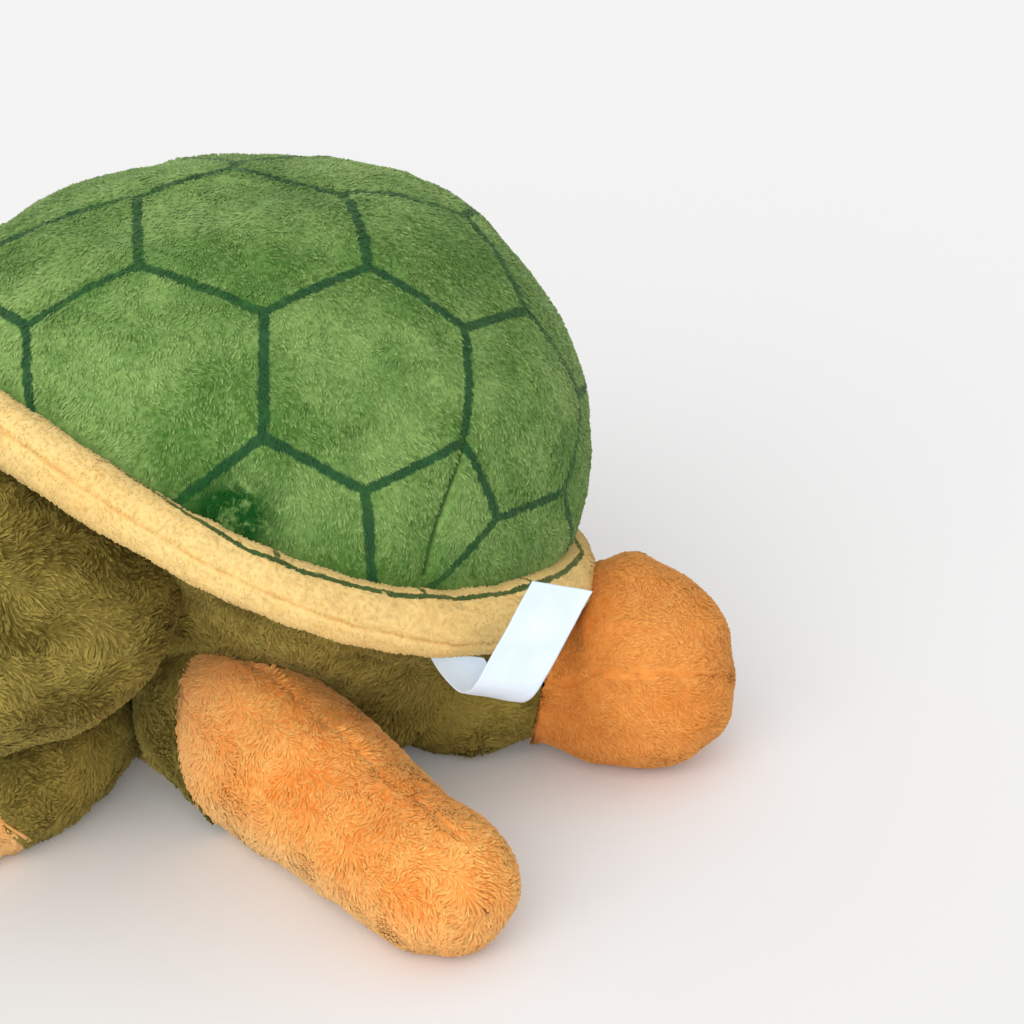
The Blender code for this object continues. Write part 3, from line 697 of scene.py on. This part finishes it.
# Print on the shell: turn and lift of each cell's middle in degrees, and its pull in per cent
seeds = (
    (74, 38, 101.7), (32, 41, 102.7), (56, 67, 100.9), (105, 24, 99.7), (55, 18, 98.2), (79, 18, 97.2),
    (113, 51, 99.1), (6, 58, 97.9), (171, 60, 100), (-82, 62, 100), (-1, 27, 100.2), (142, 31, 100.6),
    (129, -3, 100), (99, -15, 101.4), (-38, 24, 100), (-74, 26, 100), (-110, 24, 100), (-134, 56, 100),
    (-146, 26, 100), (-179, 26, 100), (165, -2, 100), (-161, -4, 100), (-126, -5, 100), (-90, -5, 100),
    (-55, -5, 100), (-20, -6, 100))
dart_places = ((76.9, 2.0), (80.2, 11.0), (84.0, 16.9), (88.3, 22.5))
brushed_place = (47.5, 17.0)
# Distance in mm on the shell for a difference of one between directions
shell_reach = 118
dart_depth = 1.5 * MM
# Widths beside the dart's line, in mm: of its groove, and of the strip without pile
dart_half_width = 1.5
dart_bare_width = 0.8
# The dome's cloth ends above the middle of the rim's tube, turns in and closes over the body
shell_edge_lift = 6 * MM
shell_edge_tuck = 8 * MM
shell_floor_height = 96 * MM


def aim(turn, lift):
    """Directions from turn and lift in degrees."""
    turn, lift = np.radians(turn), np.radians(lift)
    return np.stack((np.sin(turn) * np.cos(lift), -np.cos(turn) * np.cos(lift), np.sin(lift)), -1)


def shell_way(points):
    """Directions from the dome's middle, as on a round ball."""
    return unit((points - shell_centre) / shell_half)


def shell_bulge(way):
    """How far the stuffed dome stands out over its plain form: fuller at the rear left and on top."""
    def swell(turn, lift, spread):
        return np.exp((way @ aim(turn, lift) - 1) / spread)

    full = 2.8 * swell(138, 4, 0.16) + 2.4 * swell(172, 56, 0.14) + 2.6 * swell(162, 47, 0.03)
    low = 2.4 * swell(20, 80, 0.12) + 2.4 * swell(-138, 66, 0.05) + 2.2 * swell(152, 38, 0.014)
    return (full - low - 2.2 * swell(134, -12, 0.02) + 1.2 * swell(139, 17, 0.015)) * MM


def line_distance(points):
    """Distance in mm from points of the shell to the nearest edge of the hexagon print."""
    turn, lift, pull = np.array(seeds, float).T
    centres = aim(turn, lift) * pull[:, None] / 100
    near = shell_way(points) @ centres.T
    order = np.argsort(-near, axis=1)[:, :2]
    rows = np.arange(len(points))
    gap = near[rows, order[:, 0]] - near[rows, order[:, 1]]
    apart = np.linalg.norm(centres[order[:, 0]] - centres[order[:, 1]], axis=1)
    return gap / apart * shell_reach


def dart_distance(points):
    """Distance in mm from points of the shell to the sewn dart."""
    turn, lift = np.array(dart_places).T
    corners = aim(turn, lift)
    way = shell_way(points)
    best = np.full(len(points), 99.0)
    for a, b in zip(corners[:-1], corners[1:]):
        share = np.clip((way - a) @ (b - a) / ((b - a) @ (b - a)), 0, 1)
        away = np.linalg.norm(way - a - share[:, None] * (b - a), axis=1)
        best = np.minimum(best, away * shell_reach)
    return best


def brushed_share(points):
    """How strongly the pile is brushed dark: a patch low at the front left."""
    away = np.linalg.norm(shell_way(points) - aim(*brushed_place), axis=1) * shell_reach
    return np.clip(1.5 * bell(away, 14), 0, 1)


shell_values = {"line": line_distance, "brushed": brushed_share, "dart": dart_distance}


def make_shell():
    around, levels = 600, 160
    turn = turns(around)
    edge_height = rim_height(turn) + shell_edge_lift
    edge = np.arcsin((edge_height - shell_centre[2]) / shell_half[2])
    rows = []
    for k in range(1, levels + 1):
        lift = math.pi / 2 + (edge - math.pi / 2) * k / levels
        height = shell_centre[2] + shell_half[2] * np.sin(lift)
        rows.append(at(plan_direction(turn), shell_radius(turn, height), height))
    tucked = shell_radius(turn, edge_height) - shell_edge_tuck
    rows.append(at(plan_direction(turn), tucked, edge_height - shell_edge_lift))
    grid = Grid(rows, (0, 0, shell_centre[2] + shell_half[2]), (0, 0, shell_floor_height))
    lumps = (0.9 * waves(grid.verts, 62 * MM, 11) + 0.3 * waves(grid.verts, 20 * MM, 12)) * MM
    groove = dart_depth * bell(dart_distance(grid.verts), dart_half_width)
    left = len(grid.verts) - np.arange(len(grid.verts))
    edge_fade = smooth(left, 3 * around, 16 * around)
    grid.push((lumps + shell_bulge(shell_way(grid.verts)) - groove) * edge_fade)
    keep = ((left > 9 * around) & (dart_distance(grid.verts) > dart_bare_width)).astype(float)
    dress(grid, "shell", green, "root", "green_plush", ["shell_cover", "shell_stuffing"], 64000, -UP, 0.9,
          keep=keep, seed=14, values=shell_values, base_tone=0.35, length=2.9 * MM, width=0.36 * MM,
          lift=0.14, swirl=0.5, tones=(0.2, 0.52, 0.74), vary=0.15)


# Rim

# Mean half size of the rim's tube, and the rim's distance from the axis, in mm
rim_tube_girth = 10.5
rim_reach = 128
# The fold and the print by degrees round the tube and turns from the front: the fold sinks down to a last
# turn, and the line lies between two turns, with a cross tick at some of them
rim_fold_angle, rim_fold_last_turn = 55, 88
rim_line_angle, rim_line_ends = 71, (49, 122)
rim_ticks, rim_tick_angle, rim_tick_reach = (53.2, 75.0, 97.8), 96, 17


def wrapped(angle):
    """Angle brought to the half turn on each side of zero."""
    return (angle + math.pi) % (2 * math.pi) - math.pi


def rim_spin(points):
    """Angle from the front in degrees, the same on both sides."""
    return np.degrees(np.abs(np.arctan2(points[..., 0], -points[..., 1])))


def rim_angle(points):
    """Angle round the rim tube's section: zero points outwards, a quarter turn points up."""
    turn = np.arctan2(points[..., 0], -points[..., 1])
    out = np.hypot(points[..., 0], points[..., 1]) - rim_radius(turn)
    return np.arctan2(points[..., 2] - rim_height(turn), out)


def fold_angle(points):
    """Angle of the section where the rim is sewn in a fold."""
    return np.radians(rim_fold_angle - np.minimum(rim_spin(points), rim_fold_last_turn))


def fold_distance(points):
    """Distance in mm along the section from the rim's sewn fold, which sinks from front to side."""
    return wrapped(rim_angle(points) - fold_angle(points)) * rim_tube_girth


def rim_line_distance(points):
    """Distance in mm from the thin print under the shell's edge, and from its cross ticks."""
    spin = rim_spin(points)
    beyond = np.maximum(0, rim_line_ends[0] - spin) + np.maximum(0, spin - rim_line_ends[1])
    line = np.radians(rim_line_angle + 2.4 * beyond)
    angle = rim_angle(points)
    away = wrapped(angle - line) * rim_tube_girth
    for tick in rim_ticks:
        across = np.abs(spin - tick) * math.pi / 180 * rim_reach
        up = np.abs(np.degrees(wrapped(angle - np.radians(rim_tick_angle))))
        up = np.maximum(0, up - rim_tick_reach)
        away = np.where(np.abs(away) < across + up, away, across + up)
    return away


def make_rim():
    around, section = 760, 60
    turn = turns(around)
    direction = plan_direction(turn)
    tuck = 2.4 * MM * smooth(rim_spin(direction), 100, 135)
    middle = at(direction, rim_radius(turn) - tuck, rim_height(turn))
    angle = turns(section)
    away = wrapped(angle[None] - fold_angle(direction)[:, None]) * rim_tube_girth
    girth = 1 - 0.1 * bell(away, 1.2)
    across = direction[:, None, :] * (rim_tube_half[0] * np.cos(angle) * girth)[..., None]
    lift = UP * (rim_tube_half[1] * np.sin(angle) * girth)[..., None]
    grid = Ring(middle[:, None, :] + across + lift)
    grid.push((0.35 * waves(grid.verts, 24 * MM, 21) + 0.1 * waves(grid.verts, 7 * MM, 22)) * MM)
    dress(grid, "rim", cream, "root", "cream_plush", ["rim_cover", "rim_stuffing"], 44000, -UP,
          seed=23, values={"fold": fold_distance, "line": rim_line_distance}, base_tone=0.5,
          length=1.7 * MM, width=0.3 * MM, lift=0.12, swirl=0.6, tones=(0.45, 0.54, 0.6), vary=0.06)


# Body

# Places and sizes of the body cloth's hollows and how deep they are, in mm: over the left arm, beside the
# head and, as swells, before the hind legs
hollows = (
    ((66, -62, 54), (30, 30, 15), 14),
    ((54, -84, 84), (26, 26, 28), 10), ((-54, -84, 84), (26, 26, 28), 10),
    ((74, 6, 16), (20, 24, 15), -12), ((-74, 6, 16), (20, 24, 15), -12))
# How near to a limb the body's cloth gives way, and how near its pile ends, as shares of the limb's size
room_share = 1.03
bare_share = 1.09
give_step = 1.2 * MM
# Gap between the belly panel's edge and the body's cloth, and of the cloth's top to the rim's middle
seam_stand = 0.35 * MM
body_top_gap = 7 * MM
# How the body's form closes: its top turns in under the shell, and its floor lies over the belly panel
body_turn_in, body_turn_up = 12 * MM, 3 * MM
body_closing_height = 90 * MM
body_floor_height = 3 * MM


def belly_reach(turn):
    """Level distance from the axis to the belly panel's edge."""
    reach = np.where(np.cos(turn) > 0, belly_front_reach, belly_rear_reach)
    return belly_half_width * reach / np.hypot(reach * np.sin(turn), belly_half_width * np.cos(turn))


def inside(points, form):
    """How deep points lie in a limb: below 1 inside its section."""
    share = np.linspace(0, 1, 25)
    place, direction = form.middle(share)
    size = form.root + (form.end - form.root) * form.ease(share)[:, None]
    best = np.full(len(points), 9.0)
    for p, d, s in zip(place, direction, size):
        away = points - p
        along = away @ d
        side = away @ np.cross(d, UP)
        reach = np.where(along > 0, form.tip_reach, form.root_reach)
        past = (side / s[0]) ** 2 + (away[:, 2] / s[1]) ** 2 + (along / reach) ** 2
        best = np.minimum(best, np.sqrt(past))
    return best


def make_body():
    around, levels = 420, 60
    turn = turns(around)
    direction = plan_direction(turn)
    top_height = rim_height(turn) - body_top_gap
    top_reach = shell_radius(turn, rim_height(turn)) - body_top_inset
    low_height = belly_edge_height + seam_stand
    rows = []
    for k in range(levels + 1):
        share = k / levels
        reach = belly_reach(turn) + (top_reach - belly_reach(turn)) * share ** body_flare
        reach = reach + body_swell * math.sin(math.pi * share) * (1 - np.cos(turn)) / 2
        rows.append(at(direction, reach, low_height + (top_height - low_height) * share))
    rows.append(at(direction, top_reach - body_turn_in, top_height + body_turn_up))
    low = at(direction, belly_reach(turn) * belly_flat_share, body_floor_height)
    grid = Grid([low] + rows, (0, 0, body_floor_height), (0, 0, body_closing_height))
    for place, size, depth in hollows:
        share = np.exp(-(((grid.verts - np.array(place) * MM) / (np.array(size) * MM)) ** 2).sum(-1))
        grid.verts -= level_unit(grid.verts) * (share * (depth * MM))[:, None]
    forms = [arm_left, arm_right, *legs.values(), tail, head]
    inwards = level_unit(grid.verts)
    first = grid.verts.copy()
    for _ in range(70):
        stuck = np.min([inside(grid.verts, form) for form in forms], axis=0) < room_share
        stuck[-2:] = False
        if not stuck.any():
            break
        grid.verts[stuck] -= inwards[stuck] * give_step
    moved = np.linalg.norm(grid.verts - first, axis=1)
    shown = np.ones(len(grid.verts))
    shown[moved > 1 * MM] = 0
    shown[np.min([inside(grid.verts, form) for form in forms], axis=0) < bare_share] = 0
    shown[:around] = 0
    shown[-around - 2:] = 0
    grid.push(np.where(moved > 0, 0, 0.8 * waves(grid.verts, 30 * MM, 31) * MM))
    dress(grid, "body", olive, "root", "olive_plush", ["body_cover", "body_stuffing"], 30000, -UP,
          keep=shown, seed=33)


def make_belly():
    """Panel with a flat middle and a rounded edge that turns up to the body's cloth."""
    turn = turns(420)
    edge = belly_edge_height
    outline = ((0.3, 0.0), (0.6, 0.0), (belly_flat_share, 0.0), (0.9, 0.5 * MM), (0.95, 2 * MM),
               (0.985, 4.4 * MM), (1.0, edge), (0.96, edge), (0.8, 3 * MM))
    rows = [at(plan_direction(turn), belly_reach(turn) * share, height) for share, height in outline]
    grid = Grid(rows, (0, 0, 0), (0, 0, belly_thickness))
    mesh = grid.mesh("belly", {"tone": np.full(len(grid.verts), 0.5)})
    add_piece("belly", mesh, tan_look, "root", ["belly_panel"])


def outwards(form):
    """Way along a limb towards its tip, and a little down."""
    place = form.middle(np.array([0.0, 1.0]))[0]
    return unit(place[1] - place[0]) + UP * -0.25


def seam_keep(grid, angle, half_width):
    """Where pile grows on a limb's end: everywhere but along a seam and at its first pole."""
    keep = (np.abs(wrapped(grid.angles() - angle)) > half_width).astype(float)
    keep[-2] = 0
    keep[-1] = 1
    return keep


def seam_groove(grid, angle, depth, spread):
    """Depth of the groove along a seam at an angle of the section."""
    return depth * bell(wrapped(grid.angles() - angle), spread)


def all_but_last(grid, rows):
    """Where pile grows on a sleeve: everywhere but on its last rows and its poles."""
    return (np.arange(len(grid.verts)) < len(grid.verts) - rows * grid.around).astype(float)


def rest_on_floor(grid):
    """Flatten a form where it would sink into the floor."""
    grid.verts[:, 2] = np.maximum(grid.verts[:, 2], floor_touch)


def painted_light_share(form, seam):
    """Share of painted light that makes the pile paler: more so low on the limb, for light from the floor,
    and near its seam.
    """
    def share(points):
        away = np.linalg.norm(points - form.pivot, axis=1)
        low = (1 - smooth(points[:, 2], 6 * MM, 32 * MM)) * (1 - 0.6 * smooth(away, 80 * MM, 150 * MM))
        near = 0.6 * (1 - smooth(away, seam + 5 * MM, seam + 38 * MM))
        return np.maximum(low, near)

    return share


def arm_trimmed(grid, arm):
    """How far the cloth of an arm lies inside its solid."""
    away = np.linalg.norm((grid.verts - arm.form.pivot)[:, :2], axis=1)
    near = 1 - smooth(away, arm.trim_reach * 0.6, arm.trim_reach)
    return arm_trim_depth * smooth(grid.normals() @ unit(np.array(arm.trim_way)), 0.3, 0.95) * near


def make_arm_sleeve(body, arm):
    form = arm.form
    grid = form.part(-form.root_reach, arm.seam, 1.2 * MM, 120, arm.slant)
    top = smooth(grid.normals()[:, 2], 0.1, 0.9) * arm.top_swell
    grid.push(0.5 * MM * waves(grid.verts, 18 * MM, 41) + arm_fullness + top - arm_trimmed(grid, arm))
    rest_on_floor(grid)
    dress(grid, body + "_sleeve_plush", olive, body, "olive_plush", [body + "_sleeve"], arm.sleeve_tufts,
          outwards(form), keep=all_but_last(grid, 2), seed=43, tones=arm.sleeve_tones,
          base_tone=arm.sleeve_tones[0])


def make_flipper(body, arm):
    form = arm.form
    grid = form.part(arm.seam + seam_gap, form.trunk + form.tip_reach, 1.1 * MM, 200, arm.slant, -1)
    groove = seam_groove(grid, arm_side_seam, 0.9 * MM, 0.04)
    x, y, z = grid.normals().T
    away = np.linalg.norm(grid.verts - form.pivot, axis=1)
    top = smooth(z, 0.1, 0.9) * arm.top_swell * (1 - smooth(away, 50 * MM, 100 * MM))
    front = smooth(-y, 0.2, 0.9) * arm.front_swell * smooth(away, 30 * MM, 60 * MM)
    rear = smooth(y + z * 0.5, 0.3, 1.0) * arm_rear_trim * smooth(away, 50 * MM, 110 * MM)
    tip = smooth(x * arm.tip_side, 0.2, 1.0) * arm_tip_swell * smooth(away, 90 * MM, 125 * MM)
    shape = arm_fullness + top + front + tip - rear - groove - arm_trimmed(grid, arm)
    grid.push(0.4 * MM * waves(grid.verts, 24 * MM, 42) + shape)
    rest_on_floor(grid)
    keep = seam_keep(grid, arm_side_seam, 0.017)
    keep[:grid.around] = 0
    flow = outwards(form) * 0.7 - UP * 0.9
    nodes = [body + "_flipper", body + "_stuffing"]
    dress(grid, body + "_flipper_plush", orange, body, "orange_plush", nodes, 32000, flow, 0.9, keep=keep,
          values={"pale": painted_light_share(form, arm.seam)}, seed=44, base_tone=0.4, length=3.8 * MM,
          width=0.38 * MM)


def leg_push(grid, form, foot):
    """Shape a leg's cloth: full at the root, drawn in below the ankle seam, full again over the foot."""
    line = level_unit(form.tip - form.pivot)
    front = np.cross(line, UP)
    front = front * -np.sign(front[1])
    normals = grid.normals()
    out = (grid.verts - form.pivot) @ line
    radial = unit(grid.verts - form.pivot - line * out[:, None])
    share = smooth(out, 5 * MM, 15 * MM) * (1 - smooth(out, leg_ankle + 10 * MM, leg_ankle + 25 * MM))
    lift = radial[:, 2] * share + normals[:, 2] * (1 - share)
    away = out - leg_ankle + leg_ankle_slant * np.sin(grid.angles())
    pinch = leg_ankle_pinch * bell(away, 13 * MM) * (1 - 0.85 * smooth(lift, -0.3, 0.5))
    near = 1 - smooth(out, 8 * MM, 26 * MM)
    root = near * (leg_root_fullness + leg_front_swell * smooth(normals @ front, 0.1, 0.8))
    top = foot_top_swell * smooth(lift, 0.0, 0.9) * smooth(out, 14 * MM, 36 * MM)
    amount = 0.4 * MM * waves(grid.verts, 22 * MM, 51) + root + top - pinch
    if foot:
        corner = smooth(normals @ unit(line * 0.7 + UP * 0.7), 0.3, 1.0) * smooth(out, 45 * MM, 65 * MM)
        neck = smooth(lift, 0.2, 0.9) * bell(out - 54 * MM, 12 * MM)
        amount = amount + foot_neck_swell * neck
        full = foot_fullness * smooth(out, leg_ankle, leg_ankle + 20 * MM)
        amount = amount + full - foot_corner_trim * corner
    push = unit(radial * share[:, None] + normals * (1 - share)[:, None]) * amount[:, None]
    push[-2 if foot else -1] = 0
    return push


def make_leg_sleeve(body, form):
    grid = form.part(-form.root_reach, leg_ankle, 1.5 * MM, 120, leg_ankle_slant)
    grid.verts = grid.verts + leg_push(grid, form, False)
    rest_on_floor(grid)
    # Paler tones on the leg's sleeve: painted light where it lies in shade under the rim
    dress(grid, body + "_sleeve_plush", olive, body, "olive_plush", [body + "_sleeve"], 10000,
          outwards(form), keep=all_but_last(grid, 4), seed=52, tones=painted_light_tones,
          base_tone=painted_light_tones[0])


def make_foot(body, form, seam):
    reach = form.trunk + form.tip_reach
    grid = form.part(leg_ankle + seam_gap, reach, 1.1 * MM, 240, leg_ankle_slant, -1)
    groove = seam_groove(grid, seam, 1.2 * MM, 0.03)
    grid.verts = grid.verts + leg_push(grid, form, True) - grid.normals() * groove[:, None]
    rest_on_floor(grid)
    nodes = [body + "_foot", body + "_stuffing"]
    dress(grid, body + "_foot_plush", foot_look, body, "orange_plush", nodes, 26000, outwards(form), 0.9,
          keep=seam_keep(grid, seam, 0.022), seed=54, base_tone=0.4, length=2.9 * MM, width=0.34 * MM,
          swirl=0.9, tones=(0.35, 0.54, 0.62))


def make_limbs():
    for side, arm in arms.items():
        make_arm_sleeve("arm_" + side, arm)
        make_flipper("arm_" + side, arm)
    for side, form in legs.items():
        make_leg_sleeve("leg_" + side, form)
        make_foot("leg_" + side, form, foot_seams[side])


def make_tail():
    grid = tail.part(-tail.root_reach, tail.trunk + tail.tip_reach, 1.2 * MM, 60)
    dress(grid, "tail", olive, "tail", "olive_plush", ["tail_cover", "tail_stuffing"], 3400, outwards(tail),
          seed=61)


# Head

# Places on the head go by turn and lift in degrees. The pile lies away from the nose.
nose_height = 4 * MM
eye_turn, eye_lift = 42.0, 17.0
eye_radius = 7 * MM
# Gap between an eye and the cloth, and half its depth, in mm
eye_gap, eye_half_depth = 0.35, 2.1


def make_head():
    grid = head.part(-head.root_reach, head.tip_reach, 1.4 * MM, 190)
    swell = 0
    for place, amount in head_swells:
        away = (grid.verts - head_pivot - np.array(place) * MM) / head_swell_spread
        swell = swell + amount * MM * np.exp(-(away ** 2).sum(-1))
    grid.push(0.9 * MM * waves(grid.verts, 40 * MM, 71) + swell)
    nose = head_pivot + np.array((0, -head_reach, nose_height))

    def flow(root):
        return unit(root - nose) + UP * -0.3

    dress(grid, "head", olive, "head", "olive_plush", ["head_cover", "head_stuffing"], 30000, flow, 0.9,
          seed=72)


# Half width of the mouth and the lift of its middle in degrees, how far its ends rise, and its thread
mouth_turn, mouth_lift, mouth_rise = 27.0, -21.0, 9.0
thread_radius = 0.7 * MM
thread_height = 1.05 * MM


def head_point(turn, lift, stand_off=0.0):
    """Point on the head's front surface, and the direction out of it."""
    size = np.array((head_half[0], head_reach, head_half[1])) + stand_off
    way = aim(turn, lift)
    point = way * size
    return head_pivot + point, unit(point / size ** 2)


def plain_material(name, dark, light, scale, detail=2.0, relief=None, **finish):
    """Look with a fine grain between two colours, and a relief by its scale, strength and depth."""
    look = Shader(name)
    look.set(Base_Color=look.mix(look.noise(scale, detail), dark, light), **finish)
    if relief:
        look.bump(look.noise(relief[0]), relief[1], relief[2])
    return look


def make_eyes():
    """Domed buttons, flatter at the back, and the look of the washers behind them."""
    black = plain_material("black_eye_plastic", (0.004, 0.004, 0.005, 1), (0.012, 0.011, 0.01, 1), 300.0,
                           Roughness=0.1, Specular_IOR_Level=0.25)
    white = plain_material("white_washer_plastic", linear(225, 225, 220), linear(240, 240, 236), 200.0,
                           relief=(2500.0, 0.15, 0.1 * MM), Roughness=0.45)
    ring = turns(48)[:, None]
    for side, sign in (("left", 1), ("right", -1)):
        place, out = head_point(eye_turn * sign, eye_lift)
        turn = Vector(out).to_track_quat("Z", "Y").to_matrix()
        x, y, z = (np.array(turn @ Vector(axis)) for axis in ((1, 0, 0), (0, 1, 0), (0, 0, 1)))
        rows = []
        for k in range(1, 26):
            a = math.pi * k / 26
            radius = eye_radius * math.sin(a) ** 0.9
            rise = math.cos(a) * (1.0 if a > math.pi / 2 else 0.9)
            height = (eye_gap + eye_half_depth - eye_half_depth * rise) * MM
            rows.append(place + x * radius * np.cos(ring) + y * radius * np.sin(ring) + z * height)
        name = "eye_button_" + side
        grid = Grid(rows, place + z * 0.4 * MM, place + z * 4.55 * MM)
        add_piece(name, grid.mesh(name), black.material, "head", ["eye_" + side])
        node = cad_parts["eye_washer_" + side]
        node.data.materials.clear()
        node.data.materials.append(white.material)


def make_mouth():
    share = np.linspace(-1, 1, 121)
    centre = np.array([
        head_point(mouth_turn * s, mouth_rise * s * s + mouth_lift, thread_height)[0] for s in share])
    along = unit(np.gradient(centre, axis=0))
    side = unit(np.cross(along, UP))
    up = np.cross(side, along)
    ring = turns(16)
    rows = []
    for c, s, u, twist in zip(centre, side, up, share * 60):
        radius = thread_radius * (1 + 0.22 * np.cos(2 * (ring - twist)))
        rows.append(c + s * (radius * np.cos(ring))[:, None] + u * (radius * np.sin(ring))[:, None])
    grid = Grid(rows, centre[0] - along[0] * 0.6 * MM, centre[-1] + along[-1] * 0.6 * MM)
    thread = plain_material("mouth_thread_look", linear(24, 20, 10), linear(62, 52, 26), 1500.0, 3.0,
                            relief=(3000.0, 0.5, 0.2 * MM), Roughness=0.75, Sheen_Weight=0.2)
    add_piece("mouth", grid.mesh("mouth"), thread.material, "head", ["mouth_thread"])


# Label

# Turns of the label's seam on the rim and of the way that it faces, its tilt, and its sizes
label_place, label_face, label_tilt = (np.radians(angle) for angle in (81, 50, 15))
label_width = 20 * MM
label_bend = 10 * MM
label_rise = 31.5 * MM
label_lean = 32 * MM
label_half_thickness = 0.25 * MM


def label_path(steps):
    """Centre line of the label: down from the rim's seam, round and up, leaning to the rear."""
    out = plan_direction(label_face)
    level = unit(np.cross(UP, out))
    along = level * math.cos(label_tilt) - UP * math.sin(label_tilt)
    root = plan_direction(label_place) * rim_radius(label_place)
    root = root + UP * (rim_height(label_place) - rim_tube_half[1])
    centre = root + out * label_bend
    curve = math.pi * label_bend
    length = curve + label_rise
    total = []
    for run in np.linspace(0, 1, steps) * length:
        angle = math.pi + math.pi * min(1, run / curve)
        up = max(0, run - curve)
        point = centre + (out * math.cos(angle) + UP * math.sin(angle)) * label_bend + UP * up
        total.append(point + level * label_lean * run / length)
    return np.array(total), along


def satin_material():
    look = Shader("white_satin_look")
    settings = {"wave_type": "BANDS", "bands_direction": "Z"}
    weave = look.add("ShaderNodeTexWave", settings, Scale=900.0, Distortion=1.0, Vector=look.place())
    tone = look.math("ADD", look.math("MULTIPLY", weave.outputs["Fac"], 0.35), look.noise(90.0, 3.0))
    colour = look.mix(tone, linear(198, 220, 244), linear(230, 243, 255))
    look.set(Base_Color=colour, Roughness=0.42, Sheen_Weight=0.2, Specular_IOR_Level=0.5)
    look.bump(weave.outputs["Fac"], 0.25, 0.12 * MM)
    return look.material


def make_label():
    """Thin closed strip along the label's path, a little rippled."""
    path, along = label_path(120)
    face = unit(np.cross(np.gradient(path, axis=0), along))[:, None, :]
    across = np.linspace(-1, 1, 31) * (label_width / 2)
    rows = path[:, None, :] + along * across[None, :, None]
    rows = rows + face * (0.35 * MM * waves(rows, 18 * MM, 81))[..., None]
    n, m = rows.shape[:2]
    thick = label_half_thickness * face
    verts = np.concatenate(((rows + thick).reshape(-1, 3), (rows - thick).reshape(-1, 3)))
    i = np.arange(n - 1)[:, None] * m + np.arange(m - 1)
    front = np.stack((i, i + 1, i + m + 1, i + m), -1).reshape(-1, 4)
    back = front[:, ::-1] + n * m
    number = np.arange(n * m).reshape(n, m)
    loop = np.concatenate((number[0], number[1:, -1], number[-1, -2::-1], number[-2:0:-1, 0]))
    after = np.roll(loop, -1)
    edge = np.stack((after, loop, loop + n * m, after + n * m), -1)
    quads = np.concatenate((front, back, edge))
    mesh = build_mesh("label_strip", verts, quads.ravel(), np.full(len(quads), 4))
    piece = add_piece("label_strip", mesh, satin_material(), "label", ["label"])


# Floor, light and camera

# Strength of the studio's light from the sides and from above, and share of the floor's own glow in view
world_light = (0.40, 0.84)
floor_glow = 0.08
floor_reach = 30
floor_drop = 0.1 * MM
sun_strength = 2.0
sun_spread = math.radians(65)
# Way to the sun: to the picture's right, towards the camera and up
sun_way = (-0.22, 0.84, 0.46)


def make_floor():
    look = plain_material("pale_floor", linear(245, 245, 245), linear(247, 246, 246), 8.0, Roughness=0.9,
                          Specular_IOR_Level=0.1)
    glow = look.add("ShaderNodeEmission", Color=linear(242, 241, 240))
    rays = look.add("ShaderNodeLightPath").outputs
    share = look.math("MULTIPLY", rays["Is Camera Ray"], floor_glow)
    look.show_mixed(share, look.surface, glow, "Material Output")
    mesh = bpy.data.meshes.new("floor")
    corners = [(x * floor_reach, y * floor_reach, 0) for x, y in ((-1, -1), (1, -1), (1, 1), (-1, 1))]
    mesh.from_pydata(corners, [], [(0, 1, 2, 3)])
    floor = add_object("floor", mesh, look.material)
    floor.location.z = -floor_drop


def make_world():
    """Light that grows from the sides to above, and a plain pale background."""
    world = bpy.data.worlds.new("studio")
    bpy.context.scene.world = world
    world.use_nodes = True
    nodes = Nodes(world.node_tree)
    way = nodes.add("ShaderNodeTexCoord").outputs["Generated"]
    rise = nodes.add("ShaderNodeSeparateXYZ", i0=way).outputs["Z"]
    inputs = {"Value": rise, "To Min": world_light[0], "To Max": world_light[1]}
    strength = nodes.add("ShaderNodeMapRange", **inputs).outputs["Result"]
    lit = nodes.add("ShaderNodeBackground", Color=(1.0, 1.0, 1.0, 1.0), Strength=strength)
    shown = nodes.add("ShaderNodeBackground", Color=linear(242, 242, 241))
    rays = nodes.add("ShaderNodeLightPath").outputs
    seen = nodes.math("MAXIMUM", rays["Is Camera Ray"], rays["Is Glossy Ray"])
    seen = nodes.math("MAXIMUM", seen, rays["Is Transmission Ray"])
    nodes.show_mixed(seen, lit, shown, "World Output")


def make_light_and_camera():
    right = Vector((math.cos(view_azimuth), math.sin(view_azimuth), 0))
    towards = Vector((math.sin(view_azimuth), -math.cos(view_azimuth), 0))
    up = Vector((0, 0, 1))
    lamp = bpy.data.lights.new("soft_key", "SUN")
    lamp.energy = sun_strength
    lamp.angle = sun_spread
    key = add_object("soft_key", lamp)
    shine = right * sun_way[0] + towards * sun_way[1] + up * sun_way[2]
    key.rotation_euler = shine.to_track_quat("Z", "Y").to_euler()
    back = towards * math.cos(view_elevation) + up * math.sin(view_elevation)
    camera = bpy.data.cameras.new("camera")
    camera.sensor_width = film_width
    camera.lens = lens_length
    camera.clip_start, camera.clip_end = view_range
    holder = add_object("camera", camera)
    holder.location = right * view_right + up * view_height + back * view_distance
    holder.rotation_euler = (-back).to_track_quat("-Z", "Y").to_euler()
    bpy.context.scene.camera = holder
    bpy.context.scene.view_settings.view_transform = "Standard"


make_light_and_camera()
make_floor()
make_world()
make_shell()
make_rim()
make_body()
make_belly()
make_limbs()
make_tail()
make_head()
make_eyes()
make_mouth()
make_label()
